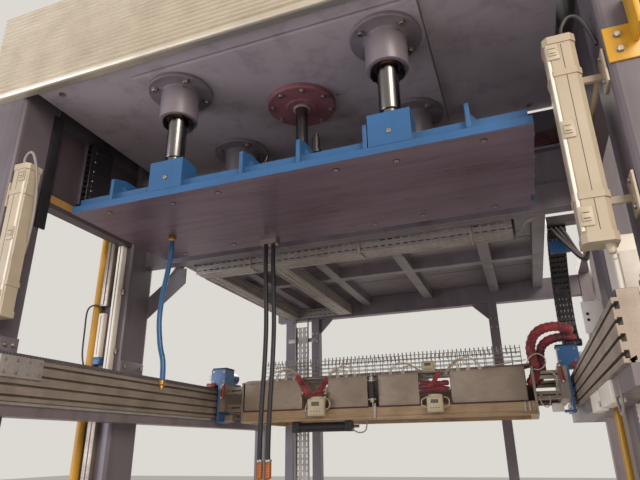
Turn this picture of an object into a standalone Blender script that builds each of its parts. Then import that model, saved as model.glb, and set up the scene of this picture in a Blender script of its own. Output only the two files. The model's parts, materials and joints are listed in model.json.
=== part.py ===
"""Four-column hydraulic press with a guided upper platen and a heater carriage on side rails.

Frame: X to the right, Y to the rear, Z up, in metres. The origin is on the floor, on the press axis.
"""

import math

import bmesh
import bpy
from mathutils import Matrix, Vector

OBJECT_NAME = "hydraulic_press"

# Running and seating clearances
SEAT = 0.0003
RUNNING = 0.0005

# Columns
COLUMN_SIDE = 0.200
COLUMN_CORNER = 0.020
COLUMN_INNER_X = 1.141
COLUMN_Y = 0.405
COLUMN_TOP = 3.540
FOOT_PLATE = 0.250
FOOT_THICK = 0.025
ANCHOR_HOLE_R = 0.013

# Base frame, bed and bolster
BASE_HEIGHT = 0.240
BASE_BEAM_WIDTH = 0.160
BASE_CROSS_WIDTH = 0.120
BASE_CROSS_PITCH = 0.380
BED_TOP = 0.740
BED_WIDTH = 1.920
BED_DEPTH = 0.660
BED_PLATE = 0.040
BED_WEB = 0.020
BED_HOLE_R = 0.080
BOLSTER_THICK = 0.060
BOLSTER_CORNER = 0.012

# Crown
CROWN_UNDERSIDE = 3.070
CROWN_WIDTH = 2.200
CROWN_DEPTH = 0.980
CROWN_PLATE = 0.040
CROWN_WEB = 0.020
CROWN_INNER_WEB_Y = 0.170
CROWN_RIBS_X = (0.240, 0.640, 0.950)
CROWN_RIB_HOLE_R = 0.070
CROWN_RIB_HOLE_Y = 0.325
CROWN_HOLE_X = 1.000
CROWN_HOLE_Y = 0.440
CROWN_HOLE_R = 0.018
PIPE_HOLE_X = 0.175
PIPE_HOLE_R = 0.011
DOUBLER_WIDTH = 1.240
DOUBLER_DEPTH = 0.860
DOUBLER_THICK = 0.018

# Ribbed front header
HEADER_WIDTH = 2.690
HEADER_BOTTOM = 3.050
HEADER_WALL = 0.028
HEADER_RIB = 0.010
HEADER_RIB_COUNT = 20
HEADER_LIP = 0.034

# Platen
PLATEN_UNDERSIDE = 2.510
PLATEN_WIDTH = 1.880
PLATEN_DEPTH = 0.670
PLATEN_THICK = 0.031
NOTCH_LENGTH = 0.055
NOTCH_DEPTH = 0.014
GUIDE_X = 0.470
GUIDE_Y = 0.282
ROD_BLOCK_WIDTH = 0.157
ROD_BLOCK_DEPTH = 0.106
ROD_BLOCK_HEIGHT = 0.132
RIB_THICK = 0.014
RIB_HEIGHT = 0.120
RIB_END_HEIGHT = 0.060
RIB_SHOULDER_Y = 0.200
RIBS_X = (0.120, 0.740)
GUSSET_LENGTH = 0.075
GUSSET_HEIGHT = 0.100
GUSSET_Y = 0.265
STRIP_HEIGHT = 0.042
STRIP_THICK = 0.012
STRIP_Y = 0.300
SPINE_Y = 0.100
SPINE_HEIGHT = 0.105
SPINE_LENGTH = 1.620
HUB_R = 0.125
HUB_HEIGHT = 0.090
ROD_FOOT_R = 0.078
ROD_FOOT_HEIGHT = 0.040

# Guide rods, housings and bushes
GUIDE_ROD_R = 0.040
GUIDE_NECK_R = 0.033
GUIDE_NECK_HEIGHT = 0.028
GUIDE_ROD_TOP = 3.860
ROD_CHAMFER = 0.004
CAST_CHAMFER = 0.006
HOUSING_R = 0.0825
HOUSING_BOTTOM = 2.889
HOUSING_TOP = 3.160
HOUSING_FLANGE_R = 0.140
HOUSING_FLANGE_THICK = 0.020
HOUSING_FILLET = 0.007
BUSH_R = 0.056
BUSH_RECESS = 0.008

# Cylinder
PISTON_ROD_R = 0.028
ROD_FLANGE_R = 0.1575
ROD_FLANGE_THICK = 0.025
ROD_FLANGE_BOSS_R = 0.070
ROD_FLANGE_BOSS = 0.006
FLANGE_EDGE = 0.003
WIPER_R = 0.041
WIPER_THICK = 0.008
BORE_R = 0.0625
TUBE_R = 0.075
CYLINDER_TOP = 4.020
PISTON_TOP = 3.900
PISTON_LENGTH = 0.060
PISTON_GROOVE = 0.004
CAP_R = 0.095
CAP_THICK = 0.070
PORT_R = 0.022
PORT_LENGTH = 0.040

# Beam behind the platen and the side panels between the columns
REAR_BEAM_Y = 0.420
REAR_BEAM_DEPTH = 0.070
REAR_BEAM_BOTTOM = 2.520
REAR_BEAM_HEIGHT = 0.120
REAR_PANEL_TOP = 2.830
REAR_PANEL_THICK = 0.012
SIDE_BEAM_BOTTOM = 2.605
SIDE_BEAM_SIDE = 0.060
SIDE_BEAM_X = 1.150
SIDE_PANEL_TOP = 3.040
SIDE_PANEL_THICK = 0.010

# Rails
RAIL_INNER_X = 1.027
RAIL_WIDTH = 0.080
RAIL_BOTTOM = 1.730
RAIL_HEIGHT = 0.160
RAIL_FRONT = -0.480
RAIL_REAR = 1.950
RAIL_GROOVE_PITCH = 0.040
RAIL_GROOVE_MOUTH = 0.010
RAIL_GROOVE_LIP = 0.0045
RAIL_GROOVE_HEAD = 0.020
RAIL_GROOVE_DEPTH = 0.012
RACK_WIDTH = 0.050
RACK_HEIGHT = 0.020

# Annex behind the press
SUPPORT_X = 1.040
SUPPORT_HEIGHT = 0.0537
LEG_X = 1.220
LEG_SIDE = 0.080
LEGS_Y = (1.210, 1.830)
RAIL_LEG_X = 1.050
LEG_FOOT = 0.160
LEG_FOOT_THICK = 0.015
REAR_FRAME_Y = 1.840
REAR_FRAME_LEFT = -0.960
REAR_FRAME_TOP = 2.602
REAR_FRAME_BEAM = 0.134
REAR_POSTS_X = (-0.860, -0.650, 0.650)
REAR_POST_SIDE = 0.060
REAR_SILL = 0.080
HAUNCH = 0.110
JOIST_PITCH = 0.455
JOIST_SIDE = 0.060
JOIST_BOTTOM = 2.540
JOIST_TIE_Y = 1.150
ROOF_SHEET = 0.005
ROOF_RIGHT = 0.990
BRACE_END = (-1.170, 2.275)
BRACE_WIDTH = 0.044
BRACE_THICK = 0.012
CHAIN_ARM_Y = 0.840
CHAIN_ARM_THICK = 0.040

# Cable tray
TRAY_LEFT = -0.860
TRAY_RIGHT = 0.850
TRAY_Y = 0.520
TRAY_WIDTH = 0.100
TRAY_HEIGHT = 0.066
TRAY_BOTTOM = JOIST_BOTTOM - SEAT - TRAY_HEIGHT
TRAY_SHEET = 0.002
TRAY_BRANCH_END = 1.800
TRAY_SLOT = (0.050, 0.008)
TRAY_SLOT_COUNT = 16

# Heater carriage
CARRIAGE_FRONT = 1.075
CARRIAGE_DEPTH = 0.620
PAN_WIDTH = 1.660
PAN_BOTTOM = 1.694
PAN_HEIGHT = 0.066
PAN_RIM = 0.030
PAN_RECESS = 0.022
BOX_TOP = 1.930
BOX_DEPTH = 0.525
BOX_CORNER = 0.008
BOXES_X = ((-0.826, -0.444), (-0.286, -0.043), (0.015, 0.248), (0.416, 0.801))
END_PLATE = 0.012
ARM_SIDE = 0.040
ARM_HEIGHTS = (1.788, 1.890)
ARM_INSET = 0.040
OUTRIGGER_X = 0.960
OUTRIGGER_BOTTOM = 1.765
OUTRIGGER_TOP = 1.925
BASKET_WIDTH = 1.590
BASKET_Y = 1.280
BASKET_DEPTH = 0.140
BASKET_HEIGHT = 0.150
BASKET_SHEET = 0.004

# Carriage drive units
DRIVE_LENGTH = 0.200
DRIVE_BASE = 0.014
DRIVE_WIDTH = 0.110
DRIVE_HEIGHT = 0.085
DRIVE_MOTOR_R = 0.036
DRIVE_MOTOR_LENGTH = 0.090
DRIVE_SHOE = 0.040
DRIVE_INSET = 0.010
BRACKET_THICK = 0.012
BRACKET_LENGTH = 0.140
BRACKET_BOTTOM = 1.700
WHEEL_R = 0.022

# Energy chain
CHAIN_X = 1.010
CHAIN_WIDTH = 0.090
CHAIN_HEIGHT = 0.036
CHAIN_LINKS = 16
CHAIN_WAIST = 0.007
CHAIN_TOP_Y = 0.870
CHAIN_BULGE = 0.330

# Batten lamps
LAMP_LENGTH = 0.655
LAMP_WIDTH = 0.085
LAMP_DEPTH = 0.068
LAMP_CHAMFER = 0.014
LAMP_CAP = 0.026
LAMP_CAP_GROW = 0.003
LAMP_STRAP = 0.020
LAMP_STRAP_AT = 0.130
LAMP_PLATE = 0.006
LAMP_PLATE_HEIGHT = 0.110
LAMP_RIGHT = (-0.500, 2.035, 0.066)
LAMP_LEFT = (-0.505, 2.040, 0.011)

# Cabinet on the front of the rear right column
CABINET_LEFT = 1.158
CABINET_WIDTH = 0.342
CABINET_DEPTH = 0.140
CABINET_BOTTOM = 1.850
CABINET_HEIGHT = 0.410
CABINET_WALL = 0.003
DOOR_THICK = 0.020
DOOR_CORNER = 0.006
HINGE_R = 0.007
HINGE_LENGTH = 0.050
HINGES_AT = (0.15, 0.85)

# Guard tube beside the rear left column
GUARD_TUBE_X = -1.310
GUARD_TUBE_R = 0.021
GUARD_TUBE_TOP = 2.720

# Hoses and their fittings
BLUE_HOSE_R = 0.012
BLACK_HOSE_R = 0.0105
HOSE_POINTS = (16, 18)
BLUE_EXIT = (-0.700, 0.060)
BLACK_EXITS = ((-0.305, 0.276), (-0.270, 0.286))
GLAND_R = 0.019
GLAND_LENGTH = 0.024
MANIFOLD_SIZE = (0.086, 0.046, 0.024)
HOSE_END_R = 0.015
HOSE_END_LENGTH = 0.040
BLUE_ROUTE = (
    (-0.702, 0.062, 2.420),
    (-0.722, 0.075, 2.330),
    (-0.748, 0.088, 2.220),
    (-0.757, 0.095, 2.110),
    (-0.742, 0.098, 2.000),
    (-0.720, 0.098, 1.930),
    (-0.713, 0.098, 1.870),
    (-0.713, 0.098, 1.840),
)
BLACK_ROUTE = (
    (0.000, 0.000, 2.400),
    (0.004, 0.003, 2.250),
    (0.009, 0.004, 2.080),
    (0.007, 0.000, 1.900),
    (0.000, -0.004, 1.720),
    (-0.004, -0.004, 1.560),
    (-0.003, -0.002, 1.430),
)

# Depth to which pieces run into each other before they are welded, and the facets of a round
OVERLAP = 0.002
ROUND = 20
FINE_ROUND = 28
COARSE_ROUND = 16


def clear_scene():
    for old in list(bpy.data.objects):
        bpy.data.objects.remove(old)


def make_collection(name):
    made = bpy.data.collections.new(name)
    bpy.context.scene.collection.children.link(made)
    return made


def make_material(name, colour, roughness, metallic=0.0):
    made = bpy.data.materials.new(name)
    made.use_nodes = True
    shader = made.node_tree.nodes["Principled BSDF"]
    shader.inputs["Base Color"].default_value = (*colour, 1.0)
    shader.inputs["Roughness"].default_value = roughness
    shader.inputs["Metallic"].default_value = metallic
    return made


def add_object(name, mesh, material=None, place=(0.0, 0.0, 0.0), cutter=False):
    """A mesh becomes an object in the parts collection, or in the cutters collection as a wire."""
    made = bpy.data.objects.new(name, mesh)
    made.location = place
    if cutter:
        CUTTERS.objects.link(made)
        made.hide_render = True
        made.display_type = "WIRE"
    else:
        PARTS.objects.link(made)
    if material is not None:
        mesh.materials.append(material)
    return made


def mesh_of(bm, name):
    mesh = bpy.data.meshes.new(name)
    bm.to_mesh(mesh)
    bm.free()
    return mesh


def block(name, low, high, material=None, cutter=False, round_axis=None, radius=0.0, steps=3):
    """A box between two corners. The edges that run along round_axis get a rounded corner."""
    low = Vector(low)
    high = Vector(high)
    bm = bmesh.new()
    bmesh.ops.create_cube(bm, size=1.0)
    bmesh.ops.scale(bm, vec=high - low, verts=bm.verts)
    if round_axis is not None:
        along = {"X": 0, "Y": 1, "Z": 2}[round_axis]
        edges = [e for e in bm.edges if abs((e.verts[0].co - e.verts[1].co)[along]) > 1e-6]
        bmesh.ops.bevel(
            bm, geom=edges, offset=radius, segments=steps, profile=0.5, affect="EDGES"
        )
    return add_object(name, mesh_of(bm, name), material, (low + high) / 2, cutter)


def rod(name, start, end, radius, material=None, cutter=False, sides=ROUND):
    """A plain cylinder between two points."""
    start = Vector(start)
    end = Vector(end)
    bm = bmesh.new()
    bmesh.ops.create_cone(
        bm,
        cap_ends=True,
        segments=sides,
        radius1=radius,
        radius2=radius,
        depth=(end - start).length,
    )
    turn = Vector((0.0, 0.0, 1.0)).rotation_difference(end - start).to_matrix()
    bmesh.ops.rotate(bm, cent=(0.0, 0.0, 0.0), matrix=turn, verts=bm.verts)
    return add_object(name, mesh_of(bm, name), material, (start + end) / 2, cutter)


def turned(name, profile, place, material=None, steps=ROUND, closed=False, cutter=False):
    """A turned piece. The profile holds (radius, height) points, down the outer side first."""
    mesh = bpy.data.meshes.new(name)
    points = [(radius, 0.0, height) for radius, height in profile]
    edges = [(i, i + 1) for i in range(len(points) - 1)]
    if closed:
        edges.append((len(points) - 1, 0))
    mesh.from_pydata(points, edges, [])
    made = add_object(name, mesh, material, place, cutter)
    screw = made.modifiers.new("turn", "SCREW")
    screw.axis = "Z"
    screw.steps = steps
    screw.render_steps = steps
    screw.use_merge_vertices = True
    screw.merge_threshold = 0.00001
    return made


def curve_to_mesh(curve, name):
    """The evaluated curve as a mesh with its caps welded to its sides."""
    holder = bpy.data.objects.new(name + "_curve", curve)
    bpy.context.scene.collection.objects.link(holder)
    bpy.context.view_layer.update()
    shown = holder.evaluated_get(bpy.context.evaluated_depsgraph_get())
    mesh = bpy.data.meshes.new_from_object(shown)
    mesh.name = name
    bpy.data.objects.remove(holder)
    bm = bmesh.new()
    bm.from_mesh(mesh)
    bmesh.ops.remove_doubles(bm, verts=bm.verts, dist=0.00001)
    bmesh.ops.recalc_face_normals(bm, faces=bm.faces)
    bm.to_mesh(mesh)
    bm.free()
    return mesh


def outline(name, loops, thickness, plane, place, material=None, cutter=False):
    """A flat outline, with further loops as holes, thickened evenly to both sides of its plane.

    Plane XY is extruded along Z, XZ along Y and YZ along X.
    """
    curve = bpy.data.curves.new(name, "CURVE")
    curve.dimensions = "2D"
    curve.fill_mode = "BOTH"
    curve.extrude = thickness / 2
    for loop in loops:
        spline = curve.splines.new("POLY")
        spline.points.add(len(loop) - 1)
        for point, (u, v) in zip(spline.points, loop):
            point.co = (u, v, 0.0, 1.0)
        spline.use_cyclic_u = True
    mesh = curve_to_mesh(curve, name)
    if plane == "XZ":
        mesh.transform(Matrix(((1, 0, 0, 0), (0, 0, -1, 0), (0, 1, 0, 0), (0, 0, 0, 1))))
    elif plane == "YZ":
        mesh.transform(Matrix(((0, 0, 1, 0), (1, 0, 0, 0), (0, 1, 0, 0), (0, 0, 0, 1))))
    return add_object(name, mesh, material, place, cutter)


def tube(name, points, radius, material, resolution=2):
    """A round tube along the given points, with capped ends."""
    curve = bpy.data.curves.new(name, "CURVE")
    curve.dimensions = "3D"
    curve.bevel_depth = radius
    curve.bevel_resolution = resolution
    curve.use_fill_caps = True
    spline = curve.splines.new("POLY")
    spline.points.add(len(points) - 1)
    for place, point in zip(spline.points, points):
        place.co = (*point, 1.0)
    return add_object(name, curve_to_mesh(curve, name), material)


def smooth_route(points, count):
    """Points at even steps along a smooth curve through the route's own points."""
    knots = [Vector(p) for p in points]
    padded = [2 * knots[0] - knots[1], *knots, 2 * knots[-1] - knots[-2]]
    dense = []
    per_span = 12
    for i in range(1, len(padded) - 2):
        a, b, c, d = padded[i - 1 : i + 3]
        for k in range(per_span):
            t = k / per_span
            dense.append(
                0.5
                * (
                    2 * b
                    + (c - a) * t
                    + (2 * a - 5 * b + 4 * c - d) * t**2
                    + (3 * b - a - 3 * c + d) * t**3
                )
            )
    dense.append(knots[-1])
    lengths = [0.0]
    for before, after in zip(dense, dense[1:]):
        lengths.append(lengths[-1] + (after - before).length)
    route = []
    for k in range(count):
        target = lengths[-1] * k / (count - 1)
        i = max(j for j, done in enumerate(lengths) if done <= target + 1e-9)
        i = min(i, len(dense) - 2)
        share = (target - lengths[i]) / (lengths[i + 1] - lengths[i])
        route.append(dense[i].lerp(dense[i + 1], share))
    return route


def combine(target, others, operation):
    """A Boolean of the target with all the others at once."""
    group = bpy.data.collections.new(f"{target.name}_{operation.lower()}")
    CUTTERS.children.link(group)
    for other in others:
        for home in list(other.users_collection):
            home.objects.unlink(other)
        group.objects.link(other)
        other.hide_render = True
        other.display_type = "WIRE"
    boolean = target.modifiers.new(operation.lower(), "BOOLEAN")
    boolean.operation = operation
    boolean.operand_type = "COLLECTION"
    boolean.collection = group
    boolean.solver = "EXACT"
    return target


def weld(target, *others):
    return combine(target, others, "UNION")


def cut(target, *others):
    return combine(target, others, "DIFFERENCE")


def both_sides(value):
    return (-value, value)


def side_name(sign):
    return "left" if sign < 0 else "right"


def mirrored(low, high, sign):
    """The two corners of a box given for the right side, moved to the side of that sign."""
    if sign > 0:
        return low, high
    return (-high[0], low[1], low[2]), (-low[0], high[1], high[2])


def make_columns():
    for y_sign in both_sides(1):
        row = "front" if y_sign < 0 else "rear"
        for sign in both_sides(1):
            name = f"column_{row}_{side_name(sign)}"
            half = COLUMN_SIDE / 2
            low = (COLUMN_INNER_X, y_sign * COLUMN_Y - half, 0.0)
            high = (COLUMN_INNER_X + COLUMN_SIDE, y_sign * COLUMN_Y + half, COLUMN_TOP)
            low, high = mirrored(low, high, sign)
            column = block(name, low, high, PAINT_GREY, round_axis="Z", radius=COLUMN_CORNER)
            foot_low = (COLUMN_INNER_X, y_sign * COLUMN_Y - FOOT_PLATE / 2, 0.0)
            foot_high = (
                COLUMN_INNER_X + FOOT_PLATE,
                y_sign * COLUMN_Y + FOOT_PLATE / 2,
                FOOT_THICK,
            )
            foot_low, foot_high = mirrored(foot_low, foot_high, sign)
            weld(column, block(name + "_foot", foot_low, foot_high, cutter=True))
            margin = (FOOT_PLATE - COLUMN_SIDE) / 2
            hole_x = sign * (COLUMN_INNER_X + FOOT_PLATE - margin)
            holes = []
            for end in both_sides(FOOT_PLATE / 2 - margin):
                spot = (hole_x, y_sign * COLUMN_Y + end)
                holes.append(
                    rod(
                        f"{name}_anchor",
                        (*spot, -FOOT_THICK),
                        (*spot, 2 * FOOT_THICK),
                        ANCHOR_HOLE_R,
                        cutter=True,
                        sides=12,
                    )
                )
            cut(column, *holes)


def make_base_frame():
    reach = COLUMN_INNER_X - SEAT
    half = BASE_BEAM_WIDTH / 2
    frame = block(
        "base_frame",
        (-reach, -COLUMN_Y - half, 0.0),
        (reach, -COLUMN_Y + half, BASE_HEIGHT),
        PAINT_DARK,
    )
    pieces = [
        block("base_rear", (-reach, COLUMN_Y - half, 0.0), (reach, COLUMN_Y + half, BASE_HEIGHT))
    ]
    for k in range(-2, 3):
        x = k * BASE_CROSS_PITCH
        pieces.append(
            block(
                "base_cross",
                (x - BASE_CROSS_WIDTH / 2, -COLUMN_Y, 0.0),
                (x + BASE_CROSS_WIDTH / 2, COLUMN_Y, BASE_HEIGHT),
            )
        )
    weld(frame, *pieces)


def make_bed():
    low_z = BASE_HEIGHT + SEAT
    x = BED_WIDTH / 2
    y = BED_DEPTH / 2
    bed = block("bed", (-x, -y, BED_TOP - BED_PLATE), (x, y, BED_TOP), PAINT_DARK)
    pieces = [block("bed_flange", (-x, -y, low_z), (x, y, low_z + BED_PLATE / 2))]
    web_low = low_z + BED_PLATE / 2 - OVERLAP
    web_high = BED_TOP - BED_PLATE + OVERLAP
    for side in both_sides(y - 2 * BED_WEB):
        pieces.append(
            block(
                "bed_web",
                (-x + BED_WEB, side - BED_WEB / 2, web_low),
                (x - BED_WEB, side + BED_WEB / 2, web_high),
            )
        )
    for k in range(-2, 3):
        rib_x = k * BASE_CROSS_PITCH
        pieces.append(
            block(
                "bed_rib",
                (rib_x - BED_WEB / 2, -y + BED_WEB, web_low),
                (rib_x + BED_WEB / 2, y - BED_WEB, web_high),
            )
        )
    weld(bed, *pieces)
    middle = (low_z + BED_TOP) / 2
    holes = []
    for k in (-1.5, -0.5, 0.5, 1.5):
        hole_x = k * BASE_CROSS_PITCH
        holes.append(
            rod(
                "bed_hole",
                (hole_x, -BED_DEPTH, middle),
                (hole_x, BED_DEPTH, middle),
                BED_HOLE_R,
                cutter=True,
                sides=12,
            )
        )
    cut(bed, *holes)


def make_bolster():
    bottom = BED_TOP + SEAT
    top = BED_TOP + BOLSTER_THICK
    x = BED_WIDTH / 2
    y = BED_DEPTH / 2
    block(
        "bolster", (-x, -y, bottom), (x, y, top), STEEL, round_axis="Z", radius=BOLSTER_CORNER
    )


def make_crown():
    half_x = CROWN_WIDTH / 2
    half_y = CROWN_DEPTH / 2
    plate_top = CROWN_UNDERSIDE + CROWN_PLATE
    crown = block(
        "crown",
        (-half_x, -half_y, CROWN_UNDERSIDE),
        (half_x, half_y, plate_top),
        PAINT_GREY,
    )
    pieces = [
        block(
            "crown_doubler",
            (-DOUBLER_WIDTH / 2, -DOUBLER_DEPTH / 2, CROWN_UNDERSIDE - DOUBLER_THICK),
            (DOUBLER_WIDTH / 2, DOUBLER_DEPTH / 2, CROWN_UNDERSIDE + OVERLAP),
        ),
        block(
            "crown_top",
            (-half_x, -half_y, COLUMN_TOP - CROWN_PLATE),
            (half_x, half_y, COLUMN_TOP),
        ),
    ]
    web_low = plate_top - OVERLAP
    web_high = COLUMN_TOP - CROWN_PLATE + OVERLAP
    reach = COLUMN_INNER_X - SEAT
    for sign in both_sides(1):
        outer = sorted((sign * half_y, sign * (half_y - CROWN_WEB)))
        pieces.append(
            block("crown_web", (-reach, outer[0], web_low), (reach, outer[1], web_high))
        )
        inner = sign * CROWN_INNER_WEB_Y
        pieces.append(
            block(
                "crown_inner_web",
                (-half_x + CROWN_WEB, inner - CROWN_WEB / 2, web_low),
                (half_x - CROWN_WEB, inner + CROWN_WEB / 2, web_high),
            )
        )
        for rib_x in CROWN_RIBS_X:
            x = sign * rib_x
            pieces.append(
                block(
                    "crown_rib",
                    (x - CROWN_WEB / 2, -half_y + CROWN_WEB / 2, web_low),
                    (x + CROWN_WEB / 2, half_y - CROWN_WEB / 2, web_high),
                )
            )
    weld(crown, *pieces)
    cut(crown, *crown_holes())


def crown_holes():
    below = CROWN_UNDERSIDE - 2 * DOUBLER_THICK
    above = CROWN_UNDERSIDE + 2 * CROWN_PLATE
    holes = [
        rod(
            "cylinder_hole",
            (0.0, 0.0, below),
            (0.0, 0.0, COLUMN_TOP + CROWN_PLATE),
            TUBE_R + 2 * RUNNING,
            cutter=True,
            sides=FINE_ROUND,
        ),
        rod(
            "pipe_hole",
            (PIPE_HOLE_X, 0.0, below),
            (PIPE_HOLE_X, 0.0, COLUMN_TOP + CROWN_PLATE),
            PIPE_HOLE_R,
            cutter=True,
            sides=8,
        ),
    ]
    middle_z = (CROWN_UNDERSIDE + COLUMN_TOP) / 2
    for y in (-CROWN_RIB_HOLE_Y, 0.0, CROWN_RIB_HOLE_Y):
        holes.append(
            rod(
                "crown_rib_hole",
                (-CROWN_WIDTH, y, middle_z),
                (CROWN_WIDTH, y, middle_z),
                CROWN_RIB_HOLE_R,
                cutter=True,
                sides=8,
            )
        )
    edge = CROWN_WEB * 1.5
    y_low = CROWN_INNER_WEB_Y + edge
    y_high = CROWN_DEPTH / 2 - 2 * CROWN_WEB
    bays = list(zip(CROWN_RIBS_X, CROWN_RIBS_X[1:]))
    for x_sign in both_sides(1):
        for y_sign in both_sides(1):
            guide = (x_sign * GUIDE_X, y_sign * GUIDE_Y)
            holes.append(
                rod(
                    "guide_hole",
                    (*guide, below),
                    (*guide, above),
                    HOUSING_R + 2 * RUNNING,
                    cutter=True,
                )
            )
            corner = (x_sign * CROWN_HOLE_X, y_sign * CROWN_HOLE_Y)
            holes.append(
                rod(
                    "lifting_hole",
                    (*corner, below),
                    (*corner, COLUMN_TOP + CROWN_PLATE),
                    CROWN_HOLE_R,
                    cutter=True,
                    sides=10,
                )
            )
            y_pair = sorted((y_sign * y_low, y_sign * y_high))
            for x_low, x_high in bays:
                x_pair = sorted((x_sign * (x_low + edge), x_sign * (x_high - edge)))
                holes.append(
                    block(
                        "crown_window",
                        (x_pair[0], y_pair[0], COLUMN_TOP - 2 * CROWN_PLATE),
                        (x_pair[1], y_pair[1], COLUMN_TOP + CROWN_PLATE),
                        cutter=True,
                    )
                )
    return holes


def make_front_header():
    """An extruded panel with fine ribs across its face and a rounded lip along its lower edge."""
    back = -(COLUMN_Y + COLUMN_SIDE / 2 + SEAT)
    root = back - HEADER_WALL
    crest = root - HEADER_RIB
    lip_r = HEADER_LIP / 2
    points = [(back, HEADER_BOTTOM)]
    lip_steps = 6
    for k in range(lip_steps + 1):
        angle = math.pi / 2 - math.pi * k / lip_steps
        points.append(
            (
                root - lip_r * math.cos(angle),
                HEADER_BOTTOM + lip_r - lip_r * math.sin(angle),
            )
        )
    ribs_low = HEADER_BOTTOM + HEADER_LIP * 1.25
    pitch = (COLUMN_TOP - ribs_low) / HEADER_RIB_COUNT
    for k in range(HEADER_RIB_COUNT):
        low = ribs_low + k * pitch
        points += [
            (root, low),
            (crest, low + pitch * 0.22),
            (crest, low + pitch * 0.58),
            (root, low + pitch * 0.80),
        ]
    points.append((root, COLUMN_TOP))
    points.append((back, COLUMN_TOP))
    outline("front_header", [points], HEADER_WIDTH, "YZ", (0.0, 0.0, 0.0), ALUMINIUM)


def make_cylinder():
    flange_top = CROWN_UNDERSIDE - DOUBLER_THICK - SEAT
    flange_bottom = flange_top - ROD_FLANGE_THICK
    boss_bottom = flange_bottom - ROD_FLANGE_BOSS
    bore = PISTON_ROD_R + RUNNING
    turned(
        "rod_flange",
        [
            (ROD_FLANGE_R, flange_top),
            (ROD_FLANGE_R, flange_bottom + FLANGE_EDGE),
            (ROD_FLANGE_R - FLANGE_EDGE, flange_bottom),
            (ROD_FLANGE_BOSS_R + FLANGE_EDGE, flange_bottom),
            (ROD_FLANGE_BOSS_R, flange_bottom - FLANGE_EDGE),
            (ROD_FLANGE_BOSS_R, boss_bottom),
            (bore, boss_bottom),
            (bore, flange_top),
        ],
        (0.0, 0.0, 0.0),
        PRIMER_RED,
        steps=FINE_ROUND,
        closed=True,
    )
    wiper_top = boss_bottom - SEAT
    turned(
        "wiper_ring",
        [
            (WIPER_R, wiper_top),
            (WIPER_R, wiper_top - WIPER_THICK * 0.6),
            (WIPER_R - FLANGE_EDGE, wiper_top - WIPER_THICK),
            (bore, wiper_top - WIPER_THICK),
            (bore, wiper_top),
        ],
        (0.0, 0.0, 0.0),
        SEAL_PALE,
        closed=True,
    )
    tube_bottom = flange_top + SEAT
    turned(
        "cylinder_tube",
        [
            (TUBE_R, CYLINDER_TOP),
            (TUBE_R, tube_bottom),
            (BORE_R, tube_bottom),
            (BORE_R, CYLINDER_TOP),
        ],
        (0.0, 0.0, 0.0),
        PAINT_GREY,
        steps=FINE_ROUND,
        closed=True,
    )
    cap_bottom = CYLINDER_TOP + SEAT
    cap_top = cap_bottom + CAP_THICK
    cap = turned(
        "cylinder_cap",
        [
            (0.0, cap_top),
            (CAP_R - CAST_CHAMFER, cap_top),
            (CAP_R, cap_top - CAST_CHAMFER),
            (CAP_R, cap_bottom),
            (0.0, cap_bottom),
        ],
        (0.0, 0.0, 0.0),
        PAINT_GREY,
        steps=FINE_ROUND,
    )
    port_z = cap_bottom + CAP_THICK / 2
    port = rod(
        "cap_port",
        (0.0, CAP_R * 0.5, port_z),
        (0.0, CAP_R + PORT_LENGTH, port_z),
        PORT_R,
        cutter=True,
        sides=12,
    )
    weld(cap, port)
    piston_bottom = PISTON_TOP - PISTON_LENGTH
    outer = BORE_R - RUNNING
    groove = outer - PISTON_GROOVE
    profile = [(outer, PISTON_TOP)]
    groove_high = PISTON_TOP - PISTON_LENGTH / 2 + PISTON_GROOVE
    groove_low = groove_high - 2 * PISTON_GROOVE
    profile += [(outer, groove_high), (groove, groove_high)]
    profile += [(groove, groove_low), (outer, groove_low)]
    inner = PISTON_ROD_R + SEAT
    profile += [(outer, piston_bottom), (inner, piston_bottom), (inner, PISTON_TOP)]
    turned(
        "piston", profile, (0.0, 0.0, 0.0), STEEL, steps=FINE_ROUND, closed=True
    )
    foot_top = PLATEN_UNDERSIDE + PLATEN_THICK + SEAT + HUB_HEIGHT + ROD_FOOT_HEIGHT
    turned(
        "piston_rod",
        [
            (0.0, PISTON_TOP),
            (PISTON_ROD_R - ROD_CHAMFER, PISTON_TOP),
            (PISTON_ROD_R, PISTON_TOP - ROD_CHAMFER),
            (PISTON_ROD_R, foot_top + SEAT),
            (0.0, foot_top + SEAT),
        ],
        (0.0, 0.0, 0.0),
        CHROMED,
        steps=FINE_ROUND,
    )


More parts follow.
